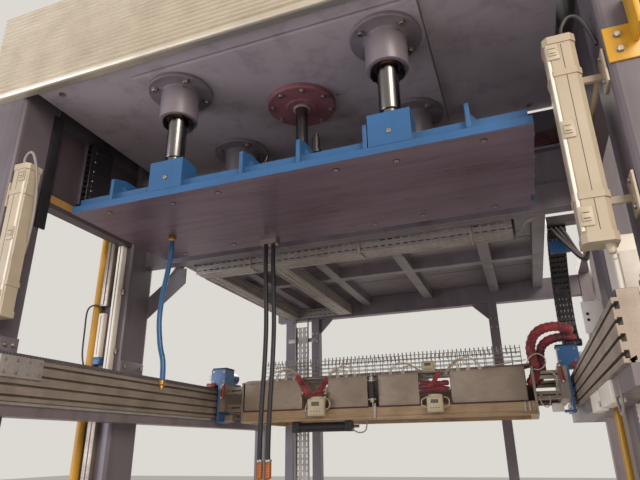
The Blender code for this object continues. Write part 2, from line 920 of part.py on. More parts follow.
def make_guides():
    flange_top = CROWN_UNDERSIDE - DOUBLER_THICK - SEAT
    flange_bottom = flange_top - HOUSING_FLANGE_THICK
    rod_bottom = PLATEN_UNDERSIDE + PLATEN_THICK + ROD_BLOCK_HEIGHT + 2 * SEAT
    neck_top = rod_bottom + GUIDE_NECK_HEIGHT
    bush_outer = BUSH_R - SEAT
    bush_inner = GUIDE_ROD_R + RUNNING
    bush_bottom = HOUSING_BOTTOM + BUSH_RECESS
    for y_sign in both_sides(1):
        row = "front" if y_sign < 0 else "rear"
        for x_sign in both_sides(1):
            corner = f"{row}_{side_name(x_sign)}"
            place = (x_sign * GUIDE_X, y_sign * GUIDE_Y, 0.0)
            turned(
                f"guide_housing_{corner}",
                [
                    (HOUSING_R, HOUSING_TOP),
                    (HOUSING_R, flange_top),
                    (HOUSING_FLANGE_R, flange_top),
                    (HOUSING_FLANGE_R, flange_bottom),
                    (HOUSING_R + HOUSING_FILLET, flange_bottom),
                    (HOUSING_R, flange_bottom - HOUSING_FILLET),
                    (HOUSING_R, HOUSING_BOTTOM + CAST_CHAMFER),
                    (HOUSING_R - CAST_CHAMFER, HOUSING_BOTTOM),
                    (BUSH_R + CAST_CHAMFER, HOUSING_BOTTOM),
                    (BUSH_R, bush_bottom),
                    (BUSH_R, HOUSING_TOP),
                ],
                place,
                PAINT_GREY,
                closed=True,
            )
            turned(
                f"guide_bush_{corner}",
                [
                    (bush_outer, HOUSING_TOP - BUSH_RECESS),
                    (bush_outer, bush_bottom),
                    (bush_inner, bush_bottom),
                    (bush_inner, HOUSING_TOP - BUSH_RECESS),
                ],
                place,
                BRONZE,
                closed=True,
            )
            turned(
                f"guide_rod_{corner}",
                [
                    (0.0, GUIDE_ROD_TOP),
                    (GUIDE_ROD_R - ROD_CHAMFER, GUIDE_ROD_TOP),
                    (GUIDE_ROD_R, GUIDE_ROD_TOP - ROD_CHAMFER),
                    (GUIDE_ROD_R, neck_top),
                    (GUIDE_NECK_R, neck_top - ROD_CHAMFER),
                    (GUIDE_NECK_R, rod_bottom),
                    (0.0, rod_bottom),
                ],
                place,
                CHROMED,
            )


def make_platen():
    x = PLATEN_WIDTH / 2
    y = PLATEN_DEPTH / 2
    top = PLATEN_UNDERSIDE + PLATEN_THICK
    plate = block("platen_plate", (-x, -y, PLATEN_UNDERSIDE), (x, y, top), STEEL_PLATE)
    notch_rear = y - NOTCH_LENGTH
    notch = block(
        "platen_notch",
        (x - NOTCH_DEPTH, notch_rear - NOTCH_LENGTH, PLATEN_UNDERSIDE - PLATEN_THICK),
        (x + NOTCH_DEPTH, notch_rear, top + PLATEN_THICK),
        cutter=True,
    )
    cut(plate, notch)

    bottom = top + SEAT
    hub = rod(
        "platen_frame",
        (0.0, 0.0, bottom),
        (0.0, 0.0, bottom + HUB_HEIGHT),
        HUB_R,
        PLATEN_BLUE,
    )
    pieces = [
        turned(
            "rod_foot",
            [
                (0.0, bottom + HUB_HEIGHT + ROD_FOOT_HEIGHT),
                (ROD_FOOT_R * 0.62, bottom + HUB_HEIGHT + ROD_FOOT_HEIGHT),
                (ROD_FOOT_R * 0.62, bottom + HUB_HEIGHT + ROD_FOOT_HEIGHT * 0.5),
                (ROD_FOOT_R, bottom + HUB_HEIGHT + ROD_FOOT_HEIGHT * 0.4),
                (ROD_FOOT_R, bottom + HUB_HEIGHT - ROD_CHAMFER),
                (0.0, bottom + HUB_HEIGHT - ROD_CHAMFER),
            ],
            (0.0, 0.0, 0.0),
        )
    ]
    for y_sign in both_sides(1):
        for x_sign in both_sides(1):
            cx = x_sign * GUIDE_X
            cy = y_sign * GUIDE_Y
            pieces.append(
                block(
                    "rod_block",
                    (cx - ROD_BLOCK_WIDTH / 2, cy - ROD_BLOCK_DEPTH / 2, bottom),
                    (
                        cx + ROD_BLOCK_WIDTH / 2,
                        cy + ROD_BLOCK_DEPTH / 2,
                        bottom + ROD_BLOCK_HEIGHT,
                    ),
                )
            )
        pieces.append(
            block(
                "platen_strip",
                (-x + STRIP_THICK, y_sign * STRIP_Y - STRIP_THICK / 2, bottom),
                (x - STRIP_THICK, y_sign * STRIP_Y + STRIP_THICK / 2, bottom + STRIP_HEIGHT),
            )
        )
        pieces.append(
            block(
                "platen_spine",
                (-SPINE_LENGTH / 2, y_sign * SPINE_Y - RIB_THICK / 2, bottom),
                (SPINE_LENGTH / 2, y_sign * SPINE_Y + RIB_THICK / 2, bottom + SPINE_HEIGHT),
            )
        )
    rib_end = y - 0.001
    rib = [
        (-rib_end, bottom),
        (rib_end, bottom),
        (rib_end, bottom + RIB_END_HEIGHT),
        (RIB_SHOULDER_Y, bottom + RIB_HEIGHT),
        (-RIB_SHOULDER_Y, bottom + RIB_HEIGHT),
        (-rib_end, bottom + RIB_END_HEIGHT),
    ]
    for x_sign in both_sides(1):
        for rib_x in RIBS_X:
            place = (x_sign * rib_x, 0.0, 0.0)
            pieces.append(outline("platen_rib", [rib], RIB_THICK, "YZ", place))
            for y_sign in both_sides(1):
                gusset = [
                    (0.0, bottom),
                    (GUSSET_LENGTH, bottom),
                    (0.0, bottom + GUSSET_HEIGHT),
                ]
                spot = (x_sign * rib_x, y_sign * GUSSET_Y, 0.0)
                pieces.append(outline("platen_gusset", [gusset], RIB_THICK, "XZ", spot))
    weld(hub, *pieces)


def make_rear_beam():
    reach = COLUMN_INNER_X - SEAT
    top = REAR_BEAM_BOTTOM + REAR_BEAM_HEIGHT
    beam = block(
        "rear_beam",
        (-reach, REAR_BEAM_Y, REAR_BEAM_BOTTOM),
        (reach, REAR_BEAM_Y + REAR_BEAM_DEPTH, top),
        PAINT_GREY,
    )
    middle = REAR_BEAM_Y + REAR_BEAM_DEPTH / 2
    panel = block(
        "rear_panel",
        (-reach, middle, top - OVERLAP),
        (reach, middle + REAR_PANEL_THICK, REAR_PANEL_TOP),
    )
    flange = block(
        "rear_panel_flange",
        (-reach, REAR_BEAM_Y, REAR_PANEL_TOP - REAR_PANEL_THICK),
        (reach, middle + REAR_PANEL_THICK / 2, REAR_PANEL_TOP),
    )
    weld(beam, panel, flange)


def make_side_panels():
    reach = COLUMN_Y - COLUMN_SIDE / 2 - SEAT
    beam_top = SIDE_BEAM_BOTTOM + SIDE_BEAM_SIDE
    for sign in both_sides(1):
        name = f"side_panel_{side_name(sign)}"
        low = (SIDE_BEAM_X, -reach, SIDE_BEAM_BOTTOM)
        high = (SIDE_BEAM_X + SIDE_BEAM_SIDE, reach, beam_top)
        panel = block(name, *mirrored(low, high, sign), PAINT_OCHRE)
        sheet_x = SIDE_BEAM_X + SIDE_BEAM_SIDE / 3
        low = (sheet_x, -reach, beam_top - OVERLAP)
        high = (sheet_x + SIDE_PANEL_THICK, reach, SIDE_PANEL_TOP)
        weld(panel, block(name + "_sheet", *mirrored(low, high, sign)))


def t_slot(centre, face, direction, mouth, lip, head, depth):
    """Points of a T-slot cut from a face, from its low side to its high side along the face."""
    inner = face - direction * lip
    floor = face - direction * (lip + depth)
    return [
        (centre - mouth / 2, face),
        (centre - mouth / 2, inner),
        (centre - head / 2, inner),
        (centre - head / 2, floor),
        (centre + head / 2, floor),
        (centre + head / 2, inner),
        (centre + mouth / 2, inner),
        (centre + mouth / 2, face),
    ]


def rail_outline():
    """The rail's section with T-slots on all four faces and the rack strip on top."""
    half = RAIL_WIDTH / 2
    top = RAIL_BOTTOM + RAIL_HEIGHT
    slot = (RAIL_GROOVE_MOUTH, RAIL_GROOVE_LIP, RAIL_GROOVE_HEAD, RAIL_GROOVE_DEPTH)
    side_count = round(RAIL_HEIGHT / RAIL_GROOVE_PITCH)
    side_slots = [RAIL_BOTTOM + (k + 0.5) * RAIL_GROOVE_PITCH for k in range(side_count)]
    points = [(-half, RAIL_BOTTOM)]
    for centre in both_sides(RAIL_GROOVE_PITCH / 2):
        points += t_slot(centre, RAIL_BOTTOM, -1, *slot)
    points.append((half, RAIL_BOTTOM))
    for centre in side_slots:
        points += [(x, z) for z, x in t_slot(centre, half, 1, *slot)]
    points.append((half, top))
    points += [
        (RACK_WIDTH / 2, top),
        (RACK_WIDTH / 2, top + RACK_HEIGHT),
        (-RACK_WIDTH / 2, top + RACK_HEIGHT),
        (-RACK_WIDTH / 2, top),
    ]
    points.append((-half, top))
    for centre in reversed(side_slots):
        points += [(x, z) for z, x in reversed(t_slot(centre, -half, -1, *slot))]
    return points


def make_rails():
    length = RAIL_REAR - RAIL_FRONT
    middle = (RAIL_REAR + RAIL_FRONT) / 2
    for sign in both_sides(1):
        place = (sign * (RAIL_INNER_X + RAIL_WIDTH / 2), middle, 0.0)
        outline(
            f"rail_{side_name(sign)}", [rail_outline()], length, "XZ", place, RAIL_ALUMINIUM
        )


def make_annex_sides():
    """A rail support on each side. The right one is welded to two legs and a beam on top."""
    support_top = RAIL_BOTTOM - SEAT
    support_bottom = RAIL_BOTTOM - SUPPORT_HEIGHT
    rear_end = LEGS_Y[-1] + LEG_SIDE
    margin = (LEG_FOOT - LEG_SIDE) / 2
    for sign in both_sides(1):
        name = f"annex_side_{side_name(sign)}"
        low = (SUPPORT_X, RAIL_FRONT, support_bottom)
        high = (COLUMN_INNER_X - SEAT, rear_end, support_top)
        side = block(name, *mirrored(low, high, sign), PAINT_BROWN)
        boxes = []
        if sign > 0:
            leg_x = LEG_X
            leg_top = SIDE_BEAM_BOTTOM + SIDE_BEAM_SIDE
            legs_y = LEGS_Y
            column_back = COLUMN_Y + COLUMN_SIDE / 2 + SEAT
            beam_low = (LEG_X, column_back, SIDE_BEAM_BOTTOM)
            boxes.append((beam_low, (LEG_X + SIDE_BEAM_SIDE, rear_end, leg_top)))
            arm_top = SIDE_BEAM_BOTTOM + CHAIN_ARM_THICK
            arm_high = (LEG_X + OVERLAP, CHAIN_ARM_Y + SIDE_BEAM_SIDE, arm_top)
            boxes.append(((CHAIN_X, CHAIN_ARM_Y, SIDE_BEAM_BOTTOM), arm_high))
            for leg_y in LEGS_Y:
                tie_low = (COLUMN_INNER_X - LEG_SIDE / 2, leg_y, support_bottom)
                tie_high = (LEG_X + OVERLAP, leg_y + LEG_SIDE, support_top)
                boxes.append((tie_low, tie_high))
        else:
            leg_x = RAIL_LEG_X
            leg_top = support_bottom + OVERLAP
            legs_y = LEGS_Y[-1:]
        for leg_y in legs_y:
            leg_rear = leg_y + LEG_SIDE
            boxes.append(((leg_x, leg_y, 0.0), (leg_x + LEG_SIDE, leg_rear, leg_top)))
            foot_high = (leg_x + LEG_SIDE + margin, leg_rear + margin, LEG_FOOT_THICK)
            boxes.append(((leg_x - margin, leg_y - margin, 0.0), foot_high))
        pieces = [block(name + "_piece", *mirrored(*box, sign)) for box in boxes]
        weld(side, *pieces)


def make_annex_rear():
    """The rear frame: a deep top beam with haunches, three posts and a sill."""
    right = LEG_X - SEAT
    y_low = REAR_FRAME_Y
    y_high = y_low + REAR_POST_SIDE
    beam_bottom = REAR_FRAME_TOP - REAR_FRAME_BEAM
    rear = block(
        "annex_rear",
        (REAR_FRAME_LEFT, y_low, beam_bottom),
        (right, y_high, REAR_FRAME_TOP),
        PAINT_GREY,
    )
    half = REAR_POST_SIDE / 2
    margin = (LEG_FOOT - LEG_SIDE) / 2
    sill_left = -RAIL_LEG_X + margin + SEAT
    pieces = [
        block("annex_sill", (sill_left, y_low, 0.0), (right - margin, y_high, REAR_SILL))
    ]
    middle_y = (y_low + y_high) / 2
    for x in REAR_POSTS_X:
        post_high = (x + half, y_high, beam_bottom + OVERLAP)
        pieces.append(block("annex_post", (x - half, y_low, 0.0), post_high))
    for x in (REAR_POSTS_X[1], REAR_POSTS_X[-1]):
        sign = 1 if x > 0 else -1
        inner = x - sign * (half - OVERLAP)
        corner = [
            (inner, beam_bottom + OVERLAP),
            (inner - sign * HAUNCH, beam_bottom + OVERLAP),
            (inner, beam_bottom - HAUNCH),
        ]
        pieces.append(
            outline("annex_haunch", [corner], RIB_THICK, "XZ", (0.0, middle_y, 0.0))
        )
    weld(rear, *pieces)


def make_annex_roof():
    """Joists under a closed sheet, from the rear beam back to the rear frame, with one tie."""
    front = REAR_BEAM_Y + REAR_BEAM_DEPTH + SEAT
    back = REAR_FRAME_Y - SEAT
    top = JOIST_BOTTOM + JOIST_SIDE
    half = JOIST_SIDE / 2
    places = [REAR_FRAME_LEFT + half]
    places += [(k - 1.5) * JOIST_PITCH for k in range(4)]
    places.append(ROOF_RIGHT - half)
    roof = block(
        "annex_roof",
        (REAR_FRAME_LEFT, front, top - OVERLAP),
        (ROOF_RIGHT, back, top - OVERLAP + ROOF_SHEET),
        PAINT_GREY,
    )
    pieces = [
        block("joist", (x - half, front, JOIST_BOTTOM), (x + half, back, top)) for x in places
    ]
    tie_high = (places[-1], JOIST_TIE_Y + half, top)
    pieces.append(block("roof_tie", (places[0], JOIST_TIE_Y - half, JOIST_BOTTOM), tie_high))
    start = Vector((places[0], JOIST_BOTTOM + half))
    end = Vector(BRACE_END)
    across = (end - start).orthogonal().normalized() * BRACE_WIDTH / 2
    loop = [start + across, end + across, end - across, start - across]
    brace_y = COLUMN_Y + COLUMN_SIDE / 2 + SEAT + BRACE_THICK / 2
    pieces.append(outline("roof_brace", [loop], BRACE_THICK, "XZ", (0.0, brace_y, 0.0)))
    weld(roof, *pieces)


def make_cable_tray():
    """A perforated U-shaped tray along the rear beam, with one branch running to the rear."""
    top = TRAY_BOTTOM + TRAY_HEIGHT
    tray = block(
        "cable_tray",
        (TRAY_LEFT, TRAY_Y, TRAY_BOTTOM),
        (TRAY_RIGHT, TRAY_Y + TRAY_WIDTH, top),
        GALVANISED,
    )
    branch = block(
        "tray_branch",
        (TRAY_LEFT, TRAY_Y + TRAY_SHEET, TRAY_BOTTOM),
        (TRAY_LEFT + TRAY_WIDTH, TRAY_BRANCH_END, top),
    )
    weld(tray, branch)
    wall = TRAY_SHEET
    run_hollow = block(
        "tray_hollow",
        (TRAY_LEFT + wall, TRAY_Y + wall, TRAY_BOTTOM + wall),
        (TRAY_RIGHT + wall, TRAY_Y + TRAY_WIDTH - wall, top + wall),
        cutter=True,
    )
    branch_hollow = block(
        "tray_branch_hollow",
        (TRAY_LEFT + wall, TRAY_Y + 2 * wall, TRAY_BOTTOM + wall),
        (TRAY_LEFT + TRAY_WIDTH - wall, TRAY_BRANCH_END + wall, top + 2 * wall),
        cutter=True,
    )
    pitch = (TRAY_RIGHT - TRAY_LEFT) / TRAY_SLOT_COUNT
    slots = []
    for row in (1, 2):
        z = TRAY_BOTTOM + TRAY_HEIGHT * row / 3
        for k in range(TRAY_SLOT_COUNT):
            x = TRAY_LEFT + (k + 0.5) * pitch
            slots.append(
                block(
                    "tray_slot",
                    (x - TRAY_SLOT[0] / 2, TRAY_Y - 2 * wall, z - TRAY_SLOT[1] / 2),
                    (x + TRAY_SLOT[0] / 2, TRAY_Y + 4 * wall, z + TRAY_SLOT[1] / 2),
                    cutter=True,
                )
            )
    cut(tray, run_hollow, branch_hollow, *slots)


def make_carriage():
    half = PAN_WIDTH / 2
    rear = CARRIAGE_FRONT + CARRIAGE_DEPTH
    pan_top = PAN_BOTTOM + PAN_HEIGHT
    pan = block(
        "heater_pan", (-half, CARRIAGE_FRONT, PAN_BOTTOM), (half, rear, pan_top), TAN_SHEET
    )
    recess = block(
        "pan_recess",
        (-half + PAN_RIM, CARRIAGE_FRONT + PAN_RIM, PAN_BOTTOM - PAN_RECESS),
        (half - PAN_RIM, rear - PAN_RIM, PAN_BOTTOM + PAN_RECESS),
        cutter=True,
    )
    cut(pan, recess)
    for number, (left, right) in enumerate(BOXES_X, start=1):
        block(
            f"heater_box_{number}",
            (left, CARRIAGE_FRONT, pan_top + SEAT),
            (right, CARRIAGE_FRONT + BOX_DEPTH, BOX_TOP),
            BARE_SHEET,
            round_axis="Z",
            radius=BOX_CORNER,
            steps=2,
        )
    make_carriage_frame(half, rear, pan_top)
    make_basket()
    for sign in both_sides(1):
        make_drive(sign)


def make_carriage_frame(half, rear, pan_top):
    """End plates, arms and outriggers of slotted profile, tied behind the boxes."""
    plate_low = half + SEAT
    plate_high = plate_low + END_PLATE
    tie_front = CARRIAGE_FRONT + BOX_DEPTH + SEAT
    frame = block(
        "carriage_frame",
        (-plate_low - OVERLAP, tie_front, pan_top + SEAT),
        (plate_low + OVERLAP, tie_front + ARM_SIDE, BOX_TOP - ARM_SIDE),
        PROFILE_ALUMINIUM,
    )
    pieces = []
    for sign in both_sides(1):
        boxes = [
            ((plate_low, CARRIAGE_FRONT, PAN_BOTTOM), (plate_high, rear, BOX_TOP)),
            (
                (OUTRIGGER_X, CARRIAGE_FRONT, OUTRIGGER_BOTTOM),
                (OUTRIGGER_X + ARM_SIDE, rear, OUTRIGGER_TOP),
            ),
        ]
        for arm_y in (CARRIAGE_FRONT + ARM_INSET, rear - ARM_INSET - ARM_SIDE):
            for height in ARM_HEIGHTS:
                boxes.append(
                    (
                        (plate_high - OVERLAP, arm_y, height - ARM_SIDE / 2),
                        (OUTRIGGER_X + OVERLAP, arm_y + ARM_SIDE, height + ARM_SIDE / 2),
                    )
                )
        pieces += [block("carriage_piece", *mirrored(*box, sign)) for box in boxes]
    weld(frame, *pieces)


def make_basket():
    """The cable basket on top of the boxes: a thin U that scene dressing may show as wire mesh."""
    low = BOX_TOP + SEAT
    sheet = BASKET_SHEET
    half = BASKET_WIDTH / 2
    basket = block(
        "mesh_basket",
        (-half, BASKET_Y, low),
        (half, BASKET_Y + BASKET_DEPTH, low + BASKET_HEIGHT),
        GALVANISED,
    )
    hollow = block(
        "basket_hollow",
        (-half - sheet, BASKET_Y + sheet, low + sheet),
        (half + sheet, BASKET_Y + BASKET_DEPTH - sheet, low + BASKET_HEIGHT + sheet),
        cutter=True,
    )
    cut(basket, hollow)


def make_drive(sign):
    """A gearbox on a base plate over the rail, with its motor, a shoe and a side roller bracket."""
    base_bottom = OUTRIGGER_TOP + SEAT
    base_top = base_bottom + DRIVE_BASE
    front = CARRIAGE_FRONT
    rail_middle = RAIL_INNER_X + RAIL_WIDTH / 2
    rack_top = RAIL_BOTTOM + RAIL_HEIGHT + RACK_HEIGHT
    inner = OUTRIGGER_X
    outer = rail_middle + DRIVE_SHOE / 2
    low, high = mirrored(
        (inner, front, base_bottom), (outer, front + DRIVE_LENGTH, base_top), sign
    )
    drive = block(f"carriage_drive_{side_name(sign)}", low, high, DRIVE_BLUE)
    motor_front = front + DRIVE_LENGTH * 0.6
    base_inside = base_bottom + OVERLAP
    gear_low = (inner + DRIVE_INSET, front + DRIVE_INSET, base_top - OVERLAP)
    gear_high = (inner + DRIVE_WIDTH, motor_front, base_top + DRIVE_HEIGHT)
    shoe_low = (rail_middle - DRIVE_SHOE / 2, front + DRIVE_INSET, rack_top + SEAT)
    shoe_high = (rail_middle + DRIVE_SHOE / 2, front + DRIVE_LENGTH - DRIVE_INSET, base_inside)
    bracket_x = OUTRIGGER_X + ARM_SIDE + SEAT
    bracket_face = bracket_x + BRACKET_THICK
    bracket_high = (bracket_face, front + BRACKET_LENGTH, base_inside)
    boxes = [
        (gear_low, gear_high),
        (shoe_low, shoe_high),
        ((bracket_x, front, BRACKET_BOTTOM), bracket_high),
    ]
    pieces = [block("drive_piece", *mirrored(*box, sign)) for box in boxes]
    motor_z = base_top + DRIVE_HEIGHT / 2
    motor_x = sign * (inner + DRIVE_WIDTH / 2)
    pieces.append(
        rod(
            "drive_motor",
            (motor_x, motor_front - OVERLAP, motor_z),
            (motor_x, motor_front + DRIVE_MOTOR_LENGTH, motor_z),
            DRIVE_MOTOR_R,
            cutter=True,
            sides=COARSE_ROUND,
        )
    )
    for share in (0.25, 0.75):
        wheel_y = front + share * BRACKET_LENGTH
        wheel_z = RAIL_BOTTOM + RAIL_HEIGHT / 2
        pieces.append(
            rod(
                "side_roller",
                (sign * (bracket_face - OVERLAP), wheel_y, wheel_z),
                (sign * (RAIL_INNER_X - RUNNING), wheel_y, wheel_z),
                WHEEL_R,
                cutter=True,
                sides=12,
            )
        )
    weld(drive, *pieces)


def chain_line(share):
    """Centre line of the energy chain: from the arm on the annex back, down and to the drive."""
    start = Vector((0.0, CHAIN_TOP_Y, SIDE_BEAM_BOTTOM - CHAIN_HEIGHT / 2 - SEAT))
    end_z = OUTRIGGER_TOP + DRIVE_BASE + DRIVE_HEIGHT + 2 * SEAT + CHAIN_HEIGHT / 2
    end = Vector((0.0, CARRIAGE_FRONT + 0.050, end_z))
    pull_a = start + Vector((0.0, CHAIN_BULGE, 0.0))
    pull_b = end + Vector((0.0, CHAIN_BULGE, 0.0))
    back = 1 - share
    return (
        start * back**3
        + pull_a * 3 * back**2 * share
        + pull_b * 3 * back * share**2
        + end * share**3
    )


def make_energy_chain():
    """Links seen from the side: each is a full-height stretch, with a waist at every joint pin."""
    upper = []
    lower = []
    steps = CHAIN_LINKS * 3
    for k in range(steps + 1):
        share = k / steps
        here = chain_line(share)
        ahead = chain_line(min(share + 0.002, 1.0))
        behind = chain_line(max(share - 0.002, 0.0))
        along = (ahead - behind).normalized()
        side = Vector((0.0, -along.z, along.y))
        at_pin = k % 3 == 0 and 0 < k < steps
        reach = CHAIN_HEIGHT / 2 - (CHAIN_WAIST if at_pin else 0.0)
        upper.append(here + side * reach)
        lower.append(here - side * reach)
    loop = [(p.y, p.z) for p in upper + lower[::-1]]
    middle_x = CHAIN_X + CHAIN_WIDTH / 2
    outline("energy_chain", [loop], CHAIN_WIDTH, "YZ", (middle_x, 0.0, 0.0), BLACK_PLASTIC)


def lamp_section(grow):
    """Section of a batten lamp seen from above: a box with chamfered front corners."""
    left = -grow
    right = LAMP_WIDTH + grow
    front = -grow
    back = LAMP_DEPTH + grow
    return [
        (left, back),
        (left, front + LAMP_CHAMFER),
        (left + LAMP_CHAMFER, front),
        (right - LAMP_CHAMFER, front),
        (right, front + LAMP_CHAMFER),
        (right, back),
    ]


def make_lamps():
    """Upright batten lamps. Two straps clamp each to plates on its column."""
    for sign, (lamp_y, lamp_bottom, stand_off) in ((1, LAMP_RIGHT), (-1, LAMP_LEFT)):
        name = f"lamp_{side_name(sign)}"
        back_x = COLUMN_INNER_X - stand_off

        def section(grow, length, z, piece):
            loop = [(sign * (back_x - x), lamp_y + y) for x, y in lamp_section(grow)]
            return outline(piece, [loop], length, "XY", (0.0, 0.0, z))

        lamp = section(0.0, LAMP_LENGTH, lamp_bottom + LAMP_LENGTH / 2, name)
        lamp.data.materials.append(LAMP_CREAM)
        pieces = []
        for end in (LAMP_CAP / 2 - OVERLAP, LAMP_LENGTH - LAMP_CAP / 2 + OVERLAP):
            pieces.append(section(LAMP_CAP_GROW, LAMP_CAP, lamp_bottom + end, "lamp_cap"))
        for end in (LAMP_STRAP_AT, LAMP_LENGTH - LAMP_STRAP_AT):
            z = lamp_bottom + end
            pieces.append(section(LAMP_CAP_GROW, LAMP_STRAP, z, "lamp_strap"))
            arm_y = lamp_y + LAMP_DEPTH - LAMP_PLATE
            wall = COLUMN_INNER_X - SEAT
            arm_low = (back_x - LAMP_WIDTH / 2, arm_y, z - LAMP_STRAP / 2)
            arm_high = (wall - OVERLAP, arm_y + 2 * LAMP_PLATE, z + LAMP_STRAP / 2)
            pieces.append(block("lamp_arm", *mirrored(arm_low, arm_high, sign)))
            plate_low = (wall - LAMP_PLATE, lamp_y + LAMP_PLATE, z - LAMP_PLATE_HEIGHT / 2)
            plate_high = (wall, arm_y + 3 * LAMP_PLATE, z + LAMP_PLATE_HEIGHT / 2)
            pieces.append(block("lamp_plate", *mirrored(plate_low, plate_high, sign)))
        weld(lamp, *pieces)


def make_cabinet():
    """A shallow switch cabinet with a door hinged at its front left edge."""
    left = CABINET_LEFT
    right = left + CABINET_WIDTH
    back = COLUMN_Y - COLUMN_SIDE / 2 - SEAT
    front = back - CABINET_DEPTH
    top = CABINET_BOTTOM + CABINET_HEIGHT
    shell = block("cabinet", (left, front, CABINET_BOTTOM), (right, back, top), CABINET_WHITE)
    wall = CABINET_WALL
    hollow = block(
        "cabinet_hollow",
        (left + wall, front - wall, CABINET_BOTTOM + wall),
        (right - wall, back - wall, top - wall),
        cutter=True,
    )
    cut(shell, hollow)
    door_rear = front - SEAT
    knuckle_y = door_rear - DOOR_THICK
    door = block(
        "cabinet_door",
        (left + SEAT, knuckle_y, CABINET_BOTTOM + SEAT),
        (right, door_rear, top - SEAT),
        CABINET_WHITE,
        round_axis="Z",
        radius=DOOR_CORNER,
    )
    knuckles = []
    for share in HINGES_AT:
        z = CABINET_BOTTOM + share * CABINET_HEIGHT
        low = (left + HINGE_R, knuckle_y, z - HINGE_LENGTH / 2)
        high = (left + HINGE_R, knuckle_y, z + HINGE_LENGTH / 2)
        knuckles.append(rod("door_knuckle", low, high, HINGE_R, cutter=True, sides=COARSE_ROUND))
    weld(door, *knuckles)


def make_guard_tube():
    y = COLUMN_Y - COLUMN_SIDE / 2 - SEAT - GUARD_TUBE_R
    rod(
        "guard_tube_left",
        (GUARD_TUBE_X, y, FOOT_THICK + SEAT),
        (GUARD_TUBE_X, y, GUARD_TUBE_TOP),
        GUARD_TUBE_R,
        PAINT_YELLOW,
        sides=COARSE_ROUND,
    )


def make_hoses():
    """Free hoses under the platen. Each leaves a fitting and hangs by its own weight."""
    seat_z = PLATEN_UNDERSIDE - SEAT
    turned(
        "hose_gland_blue",
        [
            (0.0, seat_z),
            (GLAND_R, seat_z),
            (GLAND_R, seat_z - GLAND_LENGTH * 0.6),
            (BLUE_HOSE_R + 0.002, seat_z - GLAND_LENGTH),
            (0.0, seat_z - GLAND_LENGTH),
        ],
        (*BLUE_EXIT, 0.0),
        BRASS,
        steps=6,
    )
    start = (*BLUE_EXIT, seat_z - GLAND_LENGTH - SEAT)
    tube("hose_blue", smooth_route([start, *BLUE_ROUTE], HOSE_POINTS[0]), BLUE_HOSE_R, HOSE_BLUE)
    end = Vector(BLUE_ROUTE[-1])
    turned(
        "hose_end_blue",
        [
            (0.0, end.z - SEAT),
            (HOSE_END_R, end.z - SEAT),
            (HOSE_END_R, end.z - HOSE_END_LENGTH * 0.55),
            (HOSE_END_R * 0.6, end.z - HOSE_END_LENGTH * 0.62),
            (HOSE_END_R * 0.6, end.z - HOSE_END_LENGTH),
            (0.0, end.z - HOSE_END_LENGTH),
        ],
        (end.x, end.y, 0.0),
        BRASS,
        steps=6,
    )
    middle_x = sum(x for x, y in BLACK_EXITS) / len(BLACK_EXITS)
    middle_y = sum(y for x, y in BLACK_EXITS) / len(BLACK_EXITS)
    size = Vector(MANIFOLD_SIZE)
    block(
        "hose_manifold",
        (middle_x - size.x / 2, middle_y - size.y / 2, seat_z - size.z),
        (middle_x + size.x / 2, middle_y + size.y / 2, seat_z),
        STEEL,
    )
    hose_top = seat_z - size.z - SEAT
    for side, (x, y) in zip(("left", "right"), BLACK_EXITS):
        points = [(x, y, hose_top)] + [(x + dx, y + dy, z) for dx, dy, z in BLACK_ROUTE]
        tube(f"hose_black_{side}", smooth_route(points, HOSE_POINTS[1]), BLACK_HOSE_R, BLACK_RUBBER)


clear_scene()
PARTS = make_collection(OBJECT_NAME)
CUTTERS = make_collection("cutters")

PAINT_GREY = make_material("grey_paint", (0.18, 0.165, 0.18), 0.55)
PAINT_DARK = make_material("dark_grey_paint", (0.07, 0.065, 0.075), 0.6)
PAINT_BROWN = make_material("brown_grey_paint", (0.20, 0.155, 0.13), 0.6)
PAINT_OCHRE = make_material("ochre_paint", (0.36, 0.20, 0.07), 0.6)
PAINT_YELLOW = make_material("yellow_paint", (0.72, 0.36, 0.03), 0.45)
PLATEN_BLUE = make_material("blue_paint", (0.055, 0.145, 0.33), 0.5)
DRIVE_BLUE = make_material("drive_blue_paint", (0.06, 0.17, 0.36), 0.45)
PRIMER_RED = make_material("red_primer", (0.20, 0.045, 0.05), 0.6)
STEEL = make_material("machined_steel", (0.42, 0.40, 0.39), 0.35, 1.0)
STEEL_PLATE = make_material("platen_steel", (0.16, 0.11, 0.12), 0.35, 0.6)
CHROMED = make_material("chromed_rod", (0.62, 0.60, 0.60), 0.15, 1.0)
BRONZE = make_material("bush_bronze", (0.55, 0.27, 0.11), 0.35, 1.0)
BRASS = make_material("fitting_brass", (0.60, 0.42, 0.16), 0.3, 1.0)
SEAL_PALE = make_material("pale_seal", (0.62, 0.58, 0.52), 0.5)
ALUMINIUM = make_material("header_aluminium", (0.62, 0.57, 0.50), 0.4, 0.7)
RAIL_ALUMINIUM = make_material("rail_aluminium", (0.30, 0.26, 0.23), 0.45, 0.8)
PROFILE_ALUMINIUM = make_material("profile_aluminium", (0.45, 0.41, 0.37), 0.4, 0.8)
GALVANISED = make_material("galvanised_sheet", (0.46, 0.44, 0.42), 0.4, 0.9)
BARE_SHEET = make_material("bare_sheet", (0.30, 0.25, 0.22), 0.45, 0.7)
TAN_SHEET = make_material("tan_sheet", (0.38, 0.26, 0.16), 0.5, 0.5)
BLACK_PLASTIC = make_material("black_plastic", (0.02, 0.02, 0.022), 0.5)
LAMP_CREAM = make_material("lamp_polycarbonate", (0.62, 0.50, 0.38), 0.35)
CABINET_WHITE = make_material("cabinet_white", (0.72, 0.70, 0.66), 0.45)
HOSE_BLUE = make_material("blue_hose", (0.03, 0.12, 0.28), 0.4)
BLACK_RUBBER = make_material("black_hose", (0.02, 0.02, 0.02), 0.6)

